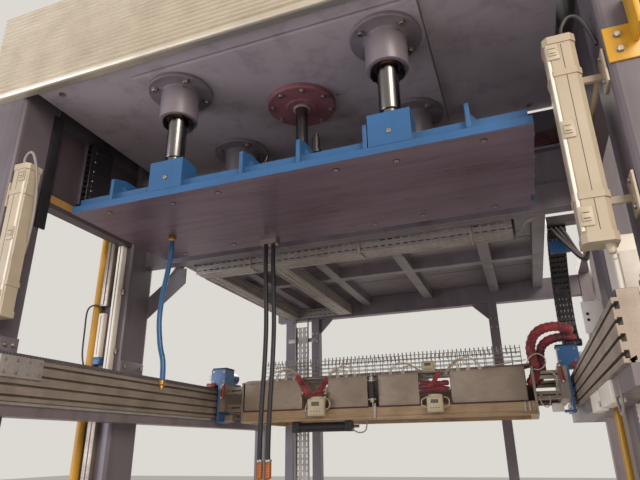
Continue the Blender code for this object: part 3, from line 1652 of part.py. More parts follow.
make_columns()
make_base_frame()
make_bed()
make_bolster()
make_crown()
make_front_header()
make_cylinder()
make_guides()
make_platen()
make_rear_beam()
make_side_panels()
make_rails()
make_annex_sides()
make_annex_rear()
make_annex_roof()
make_cable_tray()
make_carriage()
make_energy_chain()
make_lamps()
make_cabinet()
make_guard_tube()
make_hoses()
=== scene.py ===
# %% [markdown]
# This notebook dresses a hydraulic press. The solids come from the CAD model and never move here.
# Each cell adds one finish or one group of small parts, and prints what it made.
# The first cell loads the solids.

# %% Load the fixed frame
import json
import math

import bmesh
import bpy
import numpy as np
from mathutils import Matrix, Vector


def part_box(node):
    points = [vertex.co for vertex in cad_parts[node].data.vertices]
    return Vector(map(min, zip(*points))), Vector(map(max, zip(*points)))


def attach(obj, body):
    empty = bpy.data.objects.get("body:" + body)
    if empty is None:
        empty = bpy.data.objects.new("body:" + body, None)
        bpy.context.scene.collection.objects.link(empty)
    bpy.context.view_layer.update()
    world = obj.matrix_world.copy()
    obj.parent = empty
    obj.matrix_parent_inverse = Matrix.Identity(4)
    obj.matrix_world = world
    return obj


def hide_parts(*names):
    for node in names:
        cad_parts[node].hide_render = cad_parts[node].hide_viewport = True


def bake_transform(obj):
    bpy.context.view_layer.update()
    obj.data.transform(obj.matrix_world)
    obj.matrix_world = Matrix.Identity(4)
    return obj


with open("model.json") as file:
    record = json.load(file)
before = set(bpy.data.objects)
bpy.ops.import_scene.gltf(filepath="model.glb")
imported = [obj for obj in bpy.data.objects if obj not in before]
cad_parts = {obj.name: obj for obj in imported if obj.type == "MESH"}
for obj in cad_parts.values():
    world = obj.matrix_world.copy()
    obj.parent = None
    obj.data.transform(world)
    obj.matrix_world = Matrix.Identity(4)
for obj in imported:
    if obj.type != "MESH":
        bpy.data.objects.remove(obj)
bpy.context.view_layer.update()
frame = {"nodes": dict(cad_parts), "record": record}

nodes = frame["nodes"]

# %% [markdown]
# The press is seen from low down in front of it, to the right of its middle, looking up at the platen.
# The camera has to stand exactly there, so it is turned by its own three axes in place of a Track To.
# The three angles are the turn to the left, the tilt upwards and the small roll of a hand-held camera.

# %% Camera
CAMERA_PLACE = Vector((0.8035, -1.949, 1.55))
TURN, TILT, ROLL = (math.radians(a) for a in (-20.344, 21.191, -0.772))
FOCAL_PIXELS = 536.465
PICTURE_WIDTH = 640

ahead = Vector((math.sin(TURN) * math.cos(TILT), math.cos(TURN) * math.cos(TILT), math.sin(TILT)))
level = Vector((math.cos(TURN), -math.sin(TURN), 0.0))
upright = level.cross(ahead)
right = math.cos(ROLL) * level + math.sin(ROLL) * upright
up = math.cos(ROLL) * upright - math.sin(ROLL) * level

camera_data = bpy.data.cameras.new("camera")
camera_data.sensor_width = 36.0
camera_data.lens = camera_data.sensor_width * FOCAL_PIXELS / PICTURE_WIDTH
camera = bpy.data.objects.new("camera", camera_data)
turn = Matrix((right, up, -ahead)).transposed().to_4x4()
camera.matrix_world = Matrix.Translation(CAMERA_PLACE) @ turn
bpy.context.scene.collection.objects.link(camera)
bpy.context.scene.camera = camera
print("camera lens", round(camera_data.lens, 2), "mm")

# %% [markdown]
# Colours are written as sRGB hex codes, as a paint chart gives them, and a shader wants linear numbers.
# One function does that step. Another adds a node, sets it up and links it, for shaders and geometry alike.

# %% Colour and node helpers
def linear(code):
    """The linear colour of an sRGB hex code."""
    values = [int(code[i:i + 2], 16) / 255 for i in (1, 3, 5)]
    bent = [v / 12.92 if v <= 0.04045 else ((v + 0.055) / 1.055) ** 2.4 for v in values]
    return (*bent, 1.0)


def add_node(tree, kind, inputs=None, **settings):
    """Adds a node, sets its properties, then fills or links its inputs."""
    node = tree.nodes.new(kind)
    for name, value in settings.items():
        setattr(node, name, value)
    for key, value in (inputs or {}).items():
        if isinstance(value, bpy.types.NodeSocket):
            tree.links.new(value, node.inputs[key])
        else:
            node.inputs[key].default_value = value
    return node


def arithmetic(tree, operation, *values):
    """One sum on sockets and numbers."""
    return add_node(tree, "ShaderNodeMath", dict(enumerate(values)), operation=operation).outputs[0]


print("node helpers ready")

# %% [markdown]
# A plain studio suits a machine: a pale floor, a soft sky and three large lamps.
# Much of this press is seen from below, so the sky also lights it from under the horizon.
# Is Camera Ray gives the picture a pale background that adds no light, and chrome mirrors the same.

# %% Studio
FLOOR_SIZE = 60.0
BACKDROP = "#dcd8d2"

world = bpy.data.worlds.new("studio")
world.use_nodes = True
tree = world.node_tree
tree.nodes.clear()
ray = add_node(tree, "ShaderNodeLightPath")
seen = arithmetic(tree, "MAXIMUM", ray.outputs["Is Camera Ray"], ray.outputs["Is Glossy Ray"])
seen = arithmetic(tree, "MAXIMUM", seen, ray.outputs["Is Transmission Ray"])
sky = add_node(tree, "ShaderNodeBackground", {"Color": linear("#f4f1ee"), "Strength": 0.62})
shown = add_node(tree, "ShaderNodeBackground", {"Color": linear(BACKDROP), "Strength": 1.0})
mix = add_node(tree, "ShaderNodeMixShader", {0: seen, 1: sky.outputs[0], 2: shown.outputs[0]})
add_node(tree, "ShaderNodeOutputWorld", {"Surface": mix.outputs[0]})
bpy.context.scene.world = world
bpy.context.scene.view_settings.view_transform = "Standard"


def lamp(name, place, target, size, watts, colour):
    """A large square soft light that looks at a point."""
    data = bpy.data.lights.new(name, "AREA")
    data.shape = "SQUARE"
    data.size = size
    data.energy = watts
    data.color = linear(colour)[:3]
    light = bpy.data.objects.new(name, data)
    light.matrix_world = (Vector(place) - Vector(target)).to_track_quat("Z", "Y").to_matrix().to_4x4()
    light.location = place
    bpy.context.scene.collection.objects.link(light)


lamp("key", (4.2, -5.2, 4.6), (0.0, 0.2, 2.3), 3.0, 330, "#fff4e6")
lamp("fill", (-4.6, -3.6, 1.8), (0.0, 0.4, 2.4), 3.2, 150, "#eef1ff")
lamp("back", (-1.5, 5.6, 5.0), (0.0, 0.6, 2.2), 3.0, 200, "#fff8ee")

floor_mesh = bpy.data.meshes.new("studio_floor")
half = FLOOR_SIZE / 2
floor_mesh.from_pydata([(-half, -half, 0), (half, -half, 0), (half, half, 0), (-half, half, 0)],
                       [], [(0, 1, 2, 3)])
studio_floor = bpy.data.objects.new("studio_floor", floor_mesh)
bpy.context.scene.collection.objects.link(studio_floor)
floor_paint = bpy.data.materials.new("painted studio floor")
floor_paint.use_nodes = True
floor_shader = floor_paint.node_tree.nodes["Principled BSDF"]
floor_shader.inputs["Base Color"].default_value = linear("#d9d5cf")
floor_shader.inputs["Roughness"].default_value = 0.7
floor_mesh.materials.append(floor_paint)
print("studio has", len(bpy.data.lights), "lamps")

# %% [markdown]
# Every finish starts the same way: a Principled shader, and the place of the point in metres.
# Pattern sizes are real millimetres, so one function turns a size into a noise scale.
# Object coordinates give that place, and they stay put when a part is exported on its own.

# %% Start of a material
def start_material(name, roughness, metallic=0.0):
    """A new Principled material, its tree, its shader and its place socket."""
    material = bpy.data.materials.new(name)
    material.use_nodes = True
    tree = material.node_tree
    tree.nodes.clear()
    shader = add_node(tree, "ShaderNodeBsdfPrincipled", {"Roughness": roughness, "Metallic": metallic})
    add_node(tree, "ShaderNodeOutputMaterial", {"Surface": shader.outputs[0]})
    place = add_node(tree, "ShaderNodeTexCoord").outputs["Object"]
    return material, tree, shader, place


def per_metre(millimetres):
    """The noise scale whose patches are about this wide."""
    return 1000.0 / millimetres


def ranged(tree, value, low, high, to_low=0.0, to_high=1.0):
    """A value between two limits, moved to between two others."""
    return add_node(tree, "ShaderNodeMapRange", {"Value": value, "From Min": low, "From Max": high,
                    "To Min": to_low, "To Max": to_high}).outputs[0]


def noise(tree, place, millimetres, low, high, stretch=None, detail=3.0):
    """Soft patches as a 0 to 1 mask. Stretch lengthens them along one or two axes."""
    if stretch:
        shrink = tuple(1.0 / s for s in stretch)
        place = add_node(tree, "ShaderNodeMapping", {"Vector": place, "Scale": shrink}).outputs[0]
    pattern = add_node(tree, "ShaderNodeTexNoise", {"Vector": place, "Detail": detail,
                       "Scale": per_metre(millimetres), "Roughness": 0.55})
    return ranged(tree, pattern.outputs[0], low, high)


def mix_colour(tree, mask, first, second):
    """Two colours, each a hex code or a socket, mixed by a mask."""
    node = add_node(tree, "ShaderNodeMix", {0: mask}, data_type="RGBA")
    for slot, colour in ((6, first), (7, second)):
        if isinstance(colour, str):
            node.inputs[slot].default_value = linear(colour)
        else:
            tree.links.new(colour, node.inputs[slot])
    return node.outputs[2]


def stained(tree, mask, share, colour, stain):
    """A colour with a stain over it, as strong as a share of the mask."""
    return mix_colour(tree, arithmetic(tree, "MULTIPLY", mask, share), colour, stain)


def connect(tree, shader, colour, height, strength, depth, gloss=None, normal=None):
    """Sends a colour, a relief and a roughness to the shader."""
    bump = add_node(tree, "ShaderNodeBump", {"Height": height, "Strength": strength, "Distance": depth})
    for socket, target in ((colour, shader.inputs["Base Color"]), (gloss, shader.inputs["Roughness"]),
                           (normal, bump.inputs["Normal"]), (bump.outputs[0], shader.inputs["Normal"])):
        if socket is not None:
            tree.links.new(socket, target)


print("material helpers ready")

# %% [markdown]
# Sprayed machine enamel is never one flat colour. Old coats fade in broad patches, oil and hand dirt
# darken it in streaks that run down, pale dust lies on faces that look up, and steel shows where an
# edge was knocked. The Bevel node finds the edges: its normal bends there and the true one doesn't.
# The orange peel of real spray is 2 mm wide, too fine for this picture, so it is drawn at 9 mm.

# %% Painted steel
KNOCKED_EDGE = 0.0025
STREAKS = (1, 1, 5)


def painted_steel(name, paint, faded, grime, steel="#8d857f", roughness=0.42, wear=0.5,
                  dust=0.35):
    """Enamel in two tones, with dirt streaks, settled dust and chips to the steel on its edges."""
    material, tree, shader, place = start_material(name, roughness)
    colour = mix_colour(tree, noise(tree, place, 420, 0.35, 0.68), paint, faded)
    dirt = noise(tree, place, 95, 0.5, 0.86, stretch=STREAKS, detail=6.0)
    colour = stained(tree, dirt, 0.65, colour, grime)
    true_normal = add_node(tree, "ShaderNodeNewGeometry").outputs["True Normal"]
    facing = add_node(tree, "ShaderNodeSeparateXYZ", {0: true_normal}).outputs[2]
    colour = mix_colour(tree, ranged(tree, facing, 0.6, 1.0, 0.0, dust), colour, "#b0a597")
    rounded = add_node(tree, "ShaderNodeBevel", {"Radius": KNOCKED_EDGE}, samples=4).outputs[0]
    bend = add_node(tree, "ShaderNodeVectorMath", {0: rounded, 1: true_normal},
                    operation="DOT_PRODUCT").outputs["Value"]
    chips = arithmetic(tree, "MULTIPLY", ranged(tree, bend, 0.985, 0.8),
                       noise(tree, place, 16, 0.47, 0.6))
    colour = stained(tree, chips, wear, colour, steel)
    gloss = ranged(tree, dirt, 0.0, 1.0, roughness - 0.05, roughness + 0.16)
    peel = add_node(tree, "ShaderNodeTexNoise", {"Vector": place, "Scale": per_metre(9)}).outputs[0]
    connect(tree, shader, colour, peel, 0.12, 0.0006, gloss, rounded)
    return material


GREY_ENAMEL = painted_steel("grey machine enamel, sprayed", "#6f666d", "#7d747b", "#4c4147")
# The frame's one grey, darkened as painted shade for the columns and the rear sheet.
SHADED_GREY_ENAMEL = painted_steel("dark column enamel, sprayed", "#5d555b", "#696067", "#40373d")
# The same grey, lightened as painted light on the crown's shaded underside.
LIGHTENED_CROWN_ENAMEL = painted_steel("pale grey crown enamel, sprayed", "#a59ba3", "#b0a6ae", "#6a5f66")
DARK_ENAMEL = painted_steel("dark grey enamel, brushed", "#4a4449", "#575056", "#2e282b")
BLUE_ENAMEL = painted_steel("blue machine enamel, sprayed", "#2f6194", "#2b5681", "#22405e",
                            roughness=0.38, wear=0.6, dust=0.12)
ANNEX_ENAMEL = painted_steel("brown-grey enamel, sprayed", "#6f6468", "#7b7073", "#463c40")
RED_PRIMER = painted_steel("red oxide primer, brushed", "#865560", "#905d66", "#4e2c33",
                           steel="#6d5048", roughness=0.62, wear=0.7, dust=0.0)
YELLOW_ENAMEL = painted_steel("yellow safety enamel, sprayed", "#d09c2c", "#c38f25", "#6f5220",
                              wear=0.8, dust=0.1)
DRIVE_ENAMEL = painted_steel("blue gearbox enamel, dipped", "#3f6a9c", "#365f8f", "#1f344f",
                             roughness=0.33, dust=0.15)
WHITE_POWDER = painted_steel("white powder coat, baked", "#ece4d8", "#e2d9cb", "#b0a290",
                             roughness=0.45, wear=0.3, dust=0.2)
OXIDE_RED = painted_steel("red bracket enamel, sprayed", "#8c2f35", "#7d292f", "#3f191c", wear=0.7)
print("painted finishes made")

# %% [markdown]
# Bare metal is read by its grain. Milling and drawing leave fine lines one way, so the noise is
# stretched along that way, and it moves both the colour and the roughness. Handling leaves dull
# smears a hand wide. A metal keeps the default IOR, because its colour does the work.

# %% Bare metal
def bare_metal(name, bright, dull, roughness, grain_mm=3.0, stretch=(30, 1, 1), smear=0.5,
               metallic=1.0, spread=0.12, relief=0.15):
    """Metal with a fine grain one way and dull smears. Both colours and the roughness follow them."""
    material, tree, shader, place = start_material(name, roughness, metallic)
    grain = noise(tree, place, grain_mm, 0.3, 0.7, stretch=stretch, detail=2.0)
    smears = noise(tree, place, 130, 0.42, 0.72, detail=5.0)
    colour = stained(tree, grain, 0.45, bright, dull)
    colour = stained(tree, smears, smear, colour, dull)
    gloss = ranged(tree, arithmetic(tree, "ADD", grain, smears), 0.0, 2.0, roughness,
                   roughness + 2 * spread)
    connect(tree, shader, colour, grain, relief, 0.0004, gloss)
    return material


CHROME = bare_metal("hard chromed steel, ground", "#7e7a79", "#625d5c", 0.22, 1.6, (1, 1, 0.4),
                    smear=0.35, spread=0.05, relief=0.03)
BRONZE = bare_metal("bush bronze, turned", "#d29a72", "#8f5f42", 0.28, 2.0, (1, 1, 0.5))
# The header's pale cream is partly the aluminium's own colour and partly painted sunlight.
SUNLIT_HEADER_ALUMINIUM = bare_metal("ribbed aluminium panel, extruded", "#e6dcca", "#b8ab99", 0.34,
                              3.0, (60, 1, 1), metallic=0.85)
RAIL_ALUMINIUM = bare_metal("slotted rail aluminium, extruded", "#a89a8e", "#7c6e64", 0.4,
                            2.5, (1, 60, 1), metallic=0.5, smear=0.7)
PROFILE_ALUMINIUM = bare_metal("slotted profile aluminium, extruded", "#a99d90", "#7d7167", 0.36,
                               2.5, (30, 1, 1), metallic=0.85)
SHEET_STEEL = bare_metal("bare sheet steel, folded", "#aa9a8a", "#85766b", 0.4, 2.5,
                         (25, 1, 1), metallic=0.55, smear=0.6)
TINTED_SHEET = bare_metal("heat-tinted sheet, folded", "#b79b7a", "#8a745c", 0.42, 3.0,
                          (40, 1, 1), metallic=0.45, smear=0.7)
GALVANISED = bare_metal("galvanised sheet, punched", "#b0a8a3", "#8a827e", 0.42, 9.0, (1, 1, 1),
                        metallic=0.5, smear=0.6)
ZINC = bare_metal("zinc-plated steel, headed", "#b9aea6", "#80766f", 0.3, 2.0, (1, 1, 1))
BRASS = bare_metal("brass, turned", "#c79a54", "#8a6736", 0.28, 2.0, (1, 1, 0.5))
HOSE_END_METAL = bare_metal("orange-brown passivated steel, crimped", "#b86f3f", "#7b4526", 0.38,
                            2.0, (1, 1, 1), metallic=0.6)
print("bare metals made")

# %% [markdown]
# The platen's underside is the face that the picture looks straight at. It is a milled plate with
# cutter lines along its length, rusty stains and a purple-brown oil film. The film has soft clouds
# a third of a metre wide.

# %% Milled platen steel
def milled_platen():
    """Cutter lines, bands and stains over soft clouds of oil."""
    material, tree, shader, place = start_material("milled platen steel, oiled", 0.34, 0.55)
    cloud = noise(tree, place, 330, 0.36, 0.68, stretch=(2.2, 1, 1), detail=5.0)
    lines = noise(tree, place, 9, 0.32, 0.72, stretch=(42, 1, 1), detail=4.0)
    bands = noise(tree, place, 34, 0.46, 0.72, stretch=(16, 1, 1), detail=3.0)
    stains = noise(tree, place, 60, 0.6, 0.78, stretch=(1.6, 1, 1), detail=7.0)
    colour = mix_colour(tree, cloud, "#5e4e61", "#7c6b7f")
    for mask, share, stain in ((lines, 0.4, "#8d7678"), (bands, 0.35, "#4a3944"),
                               (stains, 0.55, "#5a3b3a")):
        colour = stained(tree, mask, share, colour, stain)
    gloss = ranged(tree, arithmetic(tree, "ADD", lines, cloud), 0.0, 2.0, 0.24, 0.5)
    connect(tree, shader, colour, lines, 0.35, 0.0005, gloss)
    return material


PLATEN_STEEL = milled_platen()
print("platen finish made")

# %% [markdown]
# Plastics, rubber and woven sleeves have no metal in them. Moulded parts are even in colour with a
# fine spark-eroded grain. Dust greys them, and sunlight yellows a clear lamp cover.

# %% Moulded and woven finishes
def moulded(name, fresh, aged, roughness, grain_mm=2.5, dust="#9b9087", dusty=0.25, relief=0.15,
            patch_mm=160):
    """Plastic or rubber in two tones, with a fine grain and patches of dust."""
    material, tree, shader, place = start_material(name, roughness)
    colour = mix_colour(tree, noise(tree, place, patch_mm, 0.36, 0.7), fresh, aged)
    powder = noise(tree, place, 48, 0.5, 0.8, detail=6.0)
    colour = stained(tree, powder, dusty, colour, dust)
    grain = add_node(tree, "ShaderNodeTexNoise", {"Vector": place, "Scale": per_metre(grain_mm)})
    gloss = ranged(tree, powder, 0.0, 1.0, roughness, roughness + 0.2)
    connect(tree, shader, colour, grain.outputs[0], relief, 0.0004, gloss)
    return material


def woven_sleeve(name, bright, deep):
    """Glass-fibre sleeving dipped in silicone: crossed threads, drawn 6 mm wide so that they show."""
    material, tree, shader, place = start_material(name, 0.52)
    wave = [add_node(tree, "ShaderNodeTexWave", {"Vector": place, "Scale": per_metre(6) / 20,
            "Distortion": 1.5, "Detail": 2.0}, bands_direction=axis).outputs["Fac"]
            for axis in ("X", "Z")]
    weave = arithmetic(tree, "MULTIPLY", *wave)
    colour = mix_colour(tree, noise(tree, place, 70, 0.35, 0.65, detail=5.0), bright, deep)
    colour = stained(tree, weave, 0.35, colour, deep)
    connect(tree, shader, colour, weave, 0.4, 0.0008)
    shader.inputs["Sheen Weight"].default_value = 0.25
    return material


LAMP_PLASTIC = moulded("lamp polycarbonate, moulded", "#b8aa95", "#ac9c86", 0.3, dust="#9b8c77",
                       patch_mm=260)
CLIP_PLASTIC = moulded("lamp clips, moulded", "#bcae98", "#ab9c84", 0.38)
BLACK_NYLON = moulded("black nylon, moulded", "#1d1a1f", "#262229", 0.42, dust="#4a4248")
BLACK_RUBBER = moulded("black rubber hose, extruded", "#1b191d", "#242126", 0.46, dust="#4e464a",
                       dusty=0.18)
# This near-black also serves as painted shade in counterbores, holes, profile slots and arm grooves.
TORN_RUBBER_AND_SHADE = moulded("greasy scraper rubber, torn", "#141015", "#1f171d", 0.3, dusty=0.05)
BLUE_HOSE = moulded("blue polyurethane hose, extruded", "#2e6394", "#285783", 0.3,
                    dust="#6f8296", dusty=0.12, relief=0.05)
CREAM_WIRE = moulded("glass-braided wire, woven", "#cdbfa9", "#b5a590", 0.6, grain_mm=1.5)
GREY_CABLE = moulded("grey cable jacket, extruded", "#9a928d", "#857d79", 0.45)
DARK_CABLE = moulded("dark cable jacket, extruded", "#2a2529", "#352e33", 0.45)
RED_CABLE = moulded("dark red cable jacket, extruded", "#54252b", "#3f1c22", 0.5, dusty=0.1)
GAUGE_PLASTIC = moulded("beige controller case, moulded", "#d6c8ae", "#c4b598", 0.4)
DISPLAY_GLASS = moulded("display window, moulded", "#6f6a55", "#5d5846", 0.12, relief=0.0, dusty=0.1)
CERAMIC = moulded("white ceramic beads, fired", "#e4ddd0", "#cfc5b5", 0.35)
PALE_RUBBER = moulded("pale wiper ring, moulded", "#a89890", "#8d7d78", 0.5)
RED_SLEEVE = woven_sleeve("red silicone sleeve, woven", "#b9423f", "#6d1f2a")
DEEP_SLEEVE = woven_sleeve("deep red silicone sleeve, woven", "#8c2733", "#461720")
print("plastics and sleeves made")

# %% [markdown]
# Side panels carry two finishes on one solid: a narrow ochre band, and dark sheet above and below it.
# The height of the point tells them apart, so one material serves both with hard lines between.

# %% Side panel finish
BEAM_TOP, BEAM_FOOT = 2.667, 2.628


def banded_paint(name, band, sheet, foot, top):
    """One paint between two heights and another above and below them, both with dirt."""
    material, tree, shader, place = start_material(name, 0.5)
    height = add_node(tree, "ShaderNodeSeparateXYZ", {0: place}).outputs[2]
    on_band = arithmetic(tree, "COMPARE", height, (top + foot) / 2, (top - foot) / 2)
    dirt = noise(tree, place, 110, 0.45, 0.8, stretch=(1, 1, 3), detail=6.0)
    colour = stained(tree, dirt, 0.6, mix_colour(tree, on_band, sheet, band), "#2c2228")
    connect(tree, shader, colour, dirt, 0.1, 0.0006)
    return material


SIDE_PAINT = banded_paint("ochre beam and dark sheet, brushed", "#a07b45", "#4a3e44",
                          BEAM_FOOT, BEAM_TOP)
print("side panel finish made")

# %% [markdown]
# Each CAD solid takes the finish of the real part. A table lists the finishes of every slot, and the
# first is the one for the solids. Solids whose edges show get more than that:
# a merged copy of the mesh with real rounded edges stands for the solid, because welded and sawn
# steel always has a small round that catches the light. The copy keeps the size of the solid.

# %% Finishes for the solids
def link_object(name, mesh):
    """A mesh as an object in the scene."""
    obj = bpy.data.objects.new(name, mesh)
    bpy.context.scene.collection.objects.link(obj)
    return obj


def apply_modifiers(obj):
    """Keeps what the modifiers show as the object's own mesh, and takes them off."""
    graph = bpy.context.evaluated_depsgraph_get()
    mesh = bpy.data.meshes.new_from_object(obj.evaluated_get(graph), depsgraph=graph)
    obj.modifiers.clear()
    obj.data = mesh
    return obj


def shade(mesh, degrees=35):
    """Smooth faces that meet at less than this angle, sharp edges elsewhere."""
    mesh.shade_smooth()
    mesh.set_sharp_from_angle(angle=math.radians(degrees))


def object_of(name, bm, degrees=None):
    """Ends a bmesh as a linked object, smooth where its faces meet at less than the given angle."""
    mesh = bpy.data.meshes.new(name)
    bm.to_mesh(mesh)
    bm.free()
    if degrees:
        shade(mesh, degrees)
    return link_object(name, mesh)


def body_of(node):
    """The body that a solid moves with."""
    return next(b for b, names in frame["record"]["behaviour"]["bodies"].items() if node in names)


def slot_of(node):
    """The material slot of a solid in the record."""
    return next(s["material_slot"] for s in frame["record"]["subparts"] if s["node"] == node)


def dress(node, round_mm):
    """A merged copy of a solid with rounded edges, which stands for it."""
    mesh = nodes[node].data.copy()
    bm = bmesh.new()
    bm.from_mesh(mesh)
    bmesh.ops.remove_doubles(bm, verts=bm.verts, dist=0.00005)
    bmesh.ops.dissolve_limit(bm, angle_limit=math.radians(0.5), verts=bm.verts, edges=bm.edges)
    bm.to_mesh(mesh)
    bm.free()
    obj = link_object(node + "_finished", mesh)
    bevel = obj.modifiers.new("rounded edges", "BEVEL")
    bevel.width = round_mm / 1000
    bevel.segments = 2
    bevel.limit_method = "ANGLE"
    bevel.angle_limit = math.radians(40)
    bevel.harden_normals = True
    shade(mesh)
    apply_modifiers(obj)
    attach(obj, body_of(node))
    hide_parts(node)
    return obj


def paint(material, *names):
    """Puts a finish on CAD solids."""
    for name in names:
        nodes[name].data.materials.clear()
        nodes[name].data.materials.append(material)


CORNERS = [f"{row}_{side}" for row in ("front", "rear") for side in ("left", "right")]
HEATER_BOXES = [f"heater_box_{n}" for n in (1, 2, 3, 4)]
FINISHES = {
    "grey_paint": (GREY_ENAMEL, SHADED_GREY_ENAMEL, LIGHTENED_CROWN_ENAMEL), "dark_grey_paint": (DARK_ENAMEL,),
    "machined_steel": (ZINC,), "header_aluminium": (SUNLIT_HEADER_ALUMINIUM,), "chromed_rod": (CHROME,),
    "red_primer": (RED_PRIMER, OXIDE_RED, RED_SLEEVE, DEEP_SLEEVE), "bush_bronze": (BRONZE,),
    "pale_seal": (PALE_RUBBER, CERAMIC, CREAM_WIRE, GAUGE_PLASTIC), "platen_steel": (PLATEN_STEEL,),
    "blue_paint": (BLUE_ENAMEL,), "ochre_paint": (SIDE_PAINT,), "brown_grey_paint": (ANNEX_ENAMEL,),
    "galvanised_sheet": (GALVANISED,), "rail_aluminium": (RAIL_ALUMINIUM,),
    "profile_aluminium": (PROFILE_ALUMINIUM,), "bare_sheet": (SHEET_STEEL,),
    "tan_sheet": (TINTED_SHEET, RED_CABLE), "drive_blue_paint": (DRIVE_ENAMEL,),
    "black_plastic": (BLACK_NYLON, TORN_RUBBER_AND_SHADE, DISPLAY_GLASS), "cabinet_white": (WHITE_POWDER,),
    "lamp_polycarbonate": (LAMP_PLASTIC, CLIP_PLASTIC), "yellow_paint": (YELLOW_ENAMEL,),
    "blue_hose": (BLUE_HOSE,), "black_hose": (BLACK_RUBBER, GREY_CABLE, DARK_CABLE),
    "fitting_brass": (BRASS, HOSE_END_METAL),
}

for name in nodes:
    paint(FINISHES[slot_of(name)][0], name)
# The columns take the grey enamel darkened as painted shade.
paint(SHADED_GREY_ENAMEL, *[f"column_{c}" for c in CORNERS])
# The crown takes the grey enamel lightened as painted light.
paint(LIGHTENED_CROWN_ENAMEL, "crown")
for name, round_mm in (("platen_frame", 1.5), *[(box, 1.5) for box in HEATER_BOXES],
                       ("heater_pan", 2.0), ("annex_roof", 2.0), ("rear_beam", 2.0)):
    dress(name, round_mm)
print("finishes put on", len(nodes), "solids")

# %% [markdown]
# Turned parts come off a lathe, so one profile of radius and height spun round an axis makes them all.
# The CAD rounds have few facets. Here they get 96, a small chamfer on each corner and closed poles.
# Small box-shaped and rod-shaped fittings share two more functions, so that each is one line.

# %% Shape helpers
FRAME, PLATEN, CARRIAGE, DOOR = "frame", "platen", "carriage", "door"


def keep(obj, material, body, stands_for=()):
    """Gives a piece its material and the body it moves with, and hides the solids that it stands for."""
    obj.data.materials.clear()
    obj.data.materials.append(material)
    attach(obj, body)
    if stands_for:
        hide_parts(*stands_for)
    return obj


def loft(bm, rings):
    """Closes equal rings of points to a tube with flat ends."""
    for a, b in zip(rings, rings[1:]):
        for k in range(len(a)):
            n = (k + 1) % len(a)
            bm.faces.new((a[k], a[n], b[n], b[k]))
    bm.faces.new(rings[0][::-1])
    bm.faces.new(rings[-1])


def lathe(name, profile, place, material, body, stands_for=(), steps=96):
    """Spins points of (radius, height) round the axis. Points on the axis close to a pole."""
    bm = bmesh.new()
    rings = []
    for radius, height in profile:
        if radius < 1e-6:
            rings.append([bm.verts.new((0, 0, height))])
        else:
            turns = (2 * math.pi * k / steps for k in range(steps))
            rings.append([bm.verts.new((radius * math.cos(a), radius * math.sin(a), height))
                          for a in turns])
    closed = len(rings[0]) > 1 and len(rings[-1]) > 1
    pairs = list(zip(rings, rings[1:])) + ([(rings[-1], rings[0])] if closed else [])
    for a, b in pairs:
        for k in range(steps):
            n = (k + 1) % steps
            if len(a) == 1:
                bm.faces.new((a[0], b[k], b[n]))
            elif len(b) == 1:
                bm.faces.new((a[k], b[0], a[n]))
            else:
                bm.faces.new((a[k], b[k], b[n], a[n]))
    bmesh.ops.recalc_face_normals(bm, faces=bm.faces)
    bmesh.ops.translate(bm, vec=place, verts=bm.verts)
    return keep(object_of(name, bm, 30), material, body, stands_for)


def boxes(name, corners, material, body, round_mm=1.0, segments=2):
    """Boxes between pairs of corners, each with rounded edges, as one piece."""
    bm = bmesh.new()
    for low, high in corners:
        low, high = Vector(low), Vector(high)
        made = bmesh.ops.create_cube(bm, size=1.0)["verts"]
        bmesh.ops.scale(bm, vec=high - low, verts=made)
        bmesh.ops.translate(bm, vec=(high + low) / 2, verts=made)
    bmesh.ops.bevel(bm, geom=bm.edges[:], offset=round_mm / 1000, segments=segments,
                    profile=0.5, affect="EDGES", clamp_overlap=True)
    return keep(object_of(name, bm, 40), material, body)


def rods(name, ends, radius, material, body, sides=24, chamfer=0.12):
    """Straight round bars between pairs of points, with chamfered ends."""
    bm = bmesh.new()
    for start, end in ends:
        start, end = Vector(start), Vector(end)
        length = (end - start).length
        step = min(radius * chamfer, length * 0.2)
        turn = Vector((0, 0, 1)).rotation_difference(end - start).to_matrix()
        rings = []
        for r, h in ((radius - step, 0), (radius, step), (radius, length - step),
                     (radius - step, length)):
            ring = [Vector((r * math.cos(2 * math.pi * k / sides),
                            r * math.sin(2 * math.pi * k / sides), h)) for k in range(sides)]
            rings.append([bm.verts.new(start + turn @ p) for p in ring])
        loft(bm, rings)
    return keep(object_of(name, bm, 30), material, body)


PLATE_ROUND = 0.0008


def plate(name, loop, thickness, plane, offset, material, body):
    """A flat plate cut to an outline. Plane YZ lies at an X offset, XZ at a Y offset, XY at a Z."""
    place = {"YZ": lambda u, v, w: (w, u, v), "XZ": lambda u, v, w: (u, w, v),
             "XY": lambda u, v, w: (u, v, w)}[plane]
    bm = bmesh.new()
    face = bm.faces.new([bm.verts.new(place(u, v, offset - thickness / 2)) for u, v in loop])
    grown = bmesh.ops.extrude_face_region(bm, geom=[face])["geom"]
    shift = Vector(place(0, 0, thickness))
    bmesh.ops.translate(bm, vec=shift, verts=[g for g in grown if isinstance(g, bmesh.types.BMVert)])
    bmesh.ops.recalc_face_normals(bm, faces=bm.faces)
    bmesh.ops.bevel(bm, geom=bm.edges[:], offset=PLATE_ROUND, segments=1, profile=0.5,
                    affect="EDGES", clamp_overlap=True)
    return keep(object_of(name, bm, 40), material, body)


print("shape helpers ready")

# %% [markdown]
# Hoses, cables and sleeves are drawn as centre lines and given a round skin by Geometry Nodes:
# Curve to Mesh sweeps a circle along each line and fills the ends. The same tree serves every one
# of them, with the radius as a named input, so a change of size is one number.

# %% Tubes by Geometry Nodes
def new_tree(name, *inputs):
    """A geometry tree with a Geometry input, further named inputs and a Geometry output."""
    tree = bpy.data.node_groups.new(name, "GeometryNodeTree")
    tree.interface.new_socket("Geometry", in_out="INPUT", socket_type="NodeSocketGeometry")
    tree.interface.new_socket("Geometry", in_out="OUTPUT", socket_type="NodeSocketGeometry")
    for label, kind, value in inputs:
        socket = tree.interface.new_socket(label, in_out="INPUT", socket_type=kind)
        if value is not None:
            socket.default_value = value
    given = add_node(tree, "NodeGroupInput")
    return tree, given.outputs


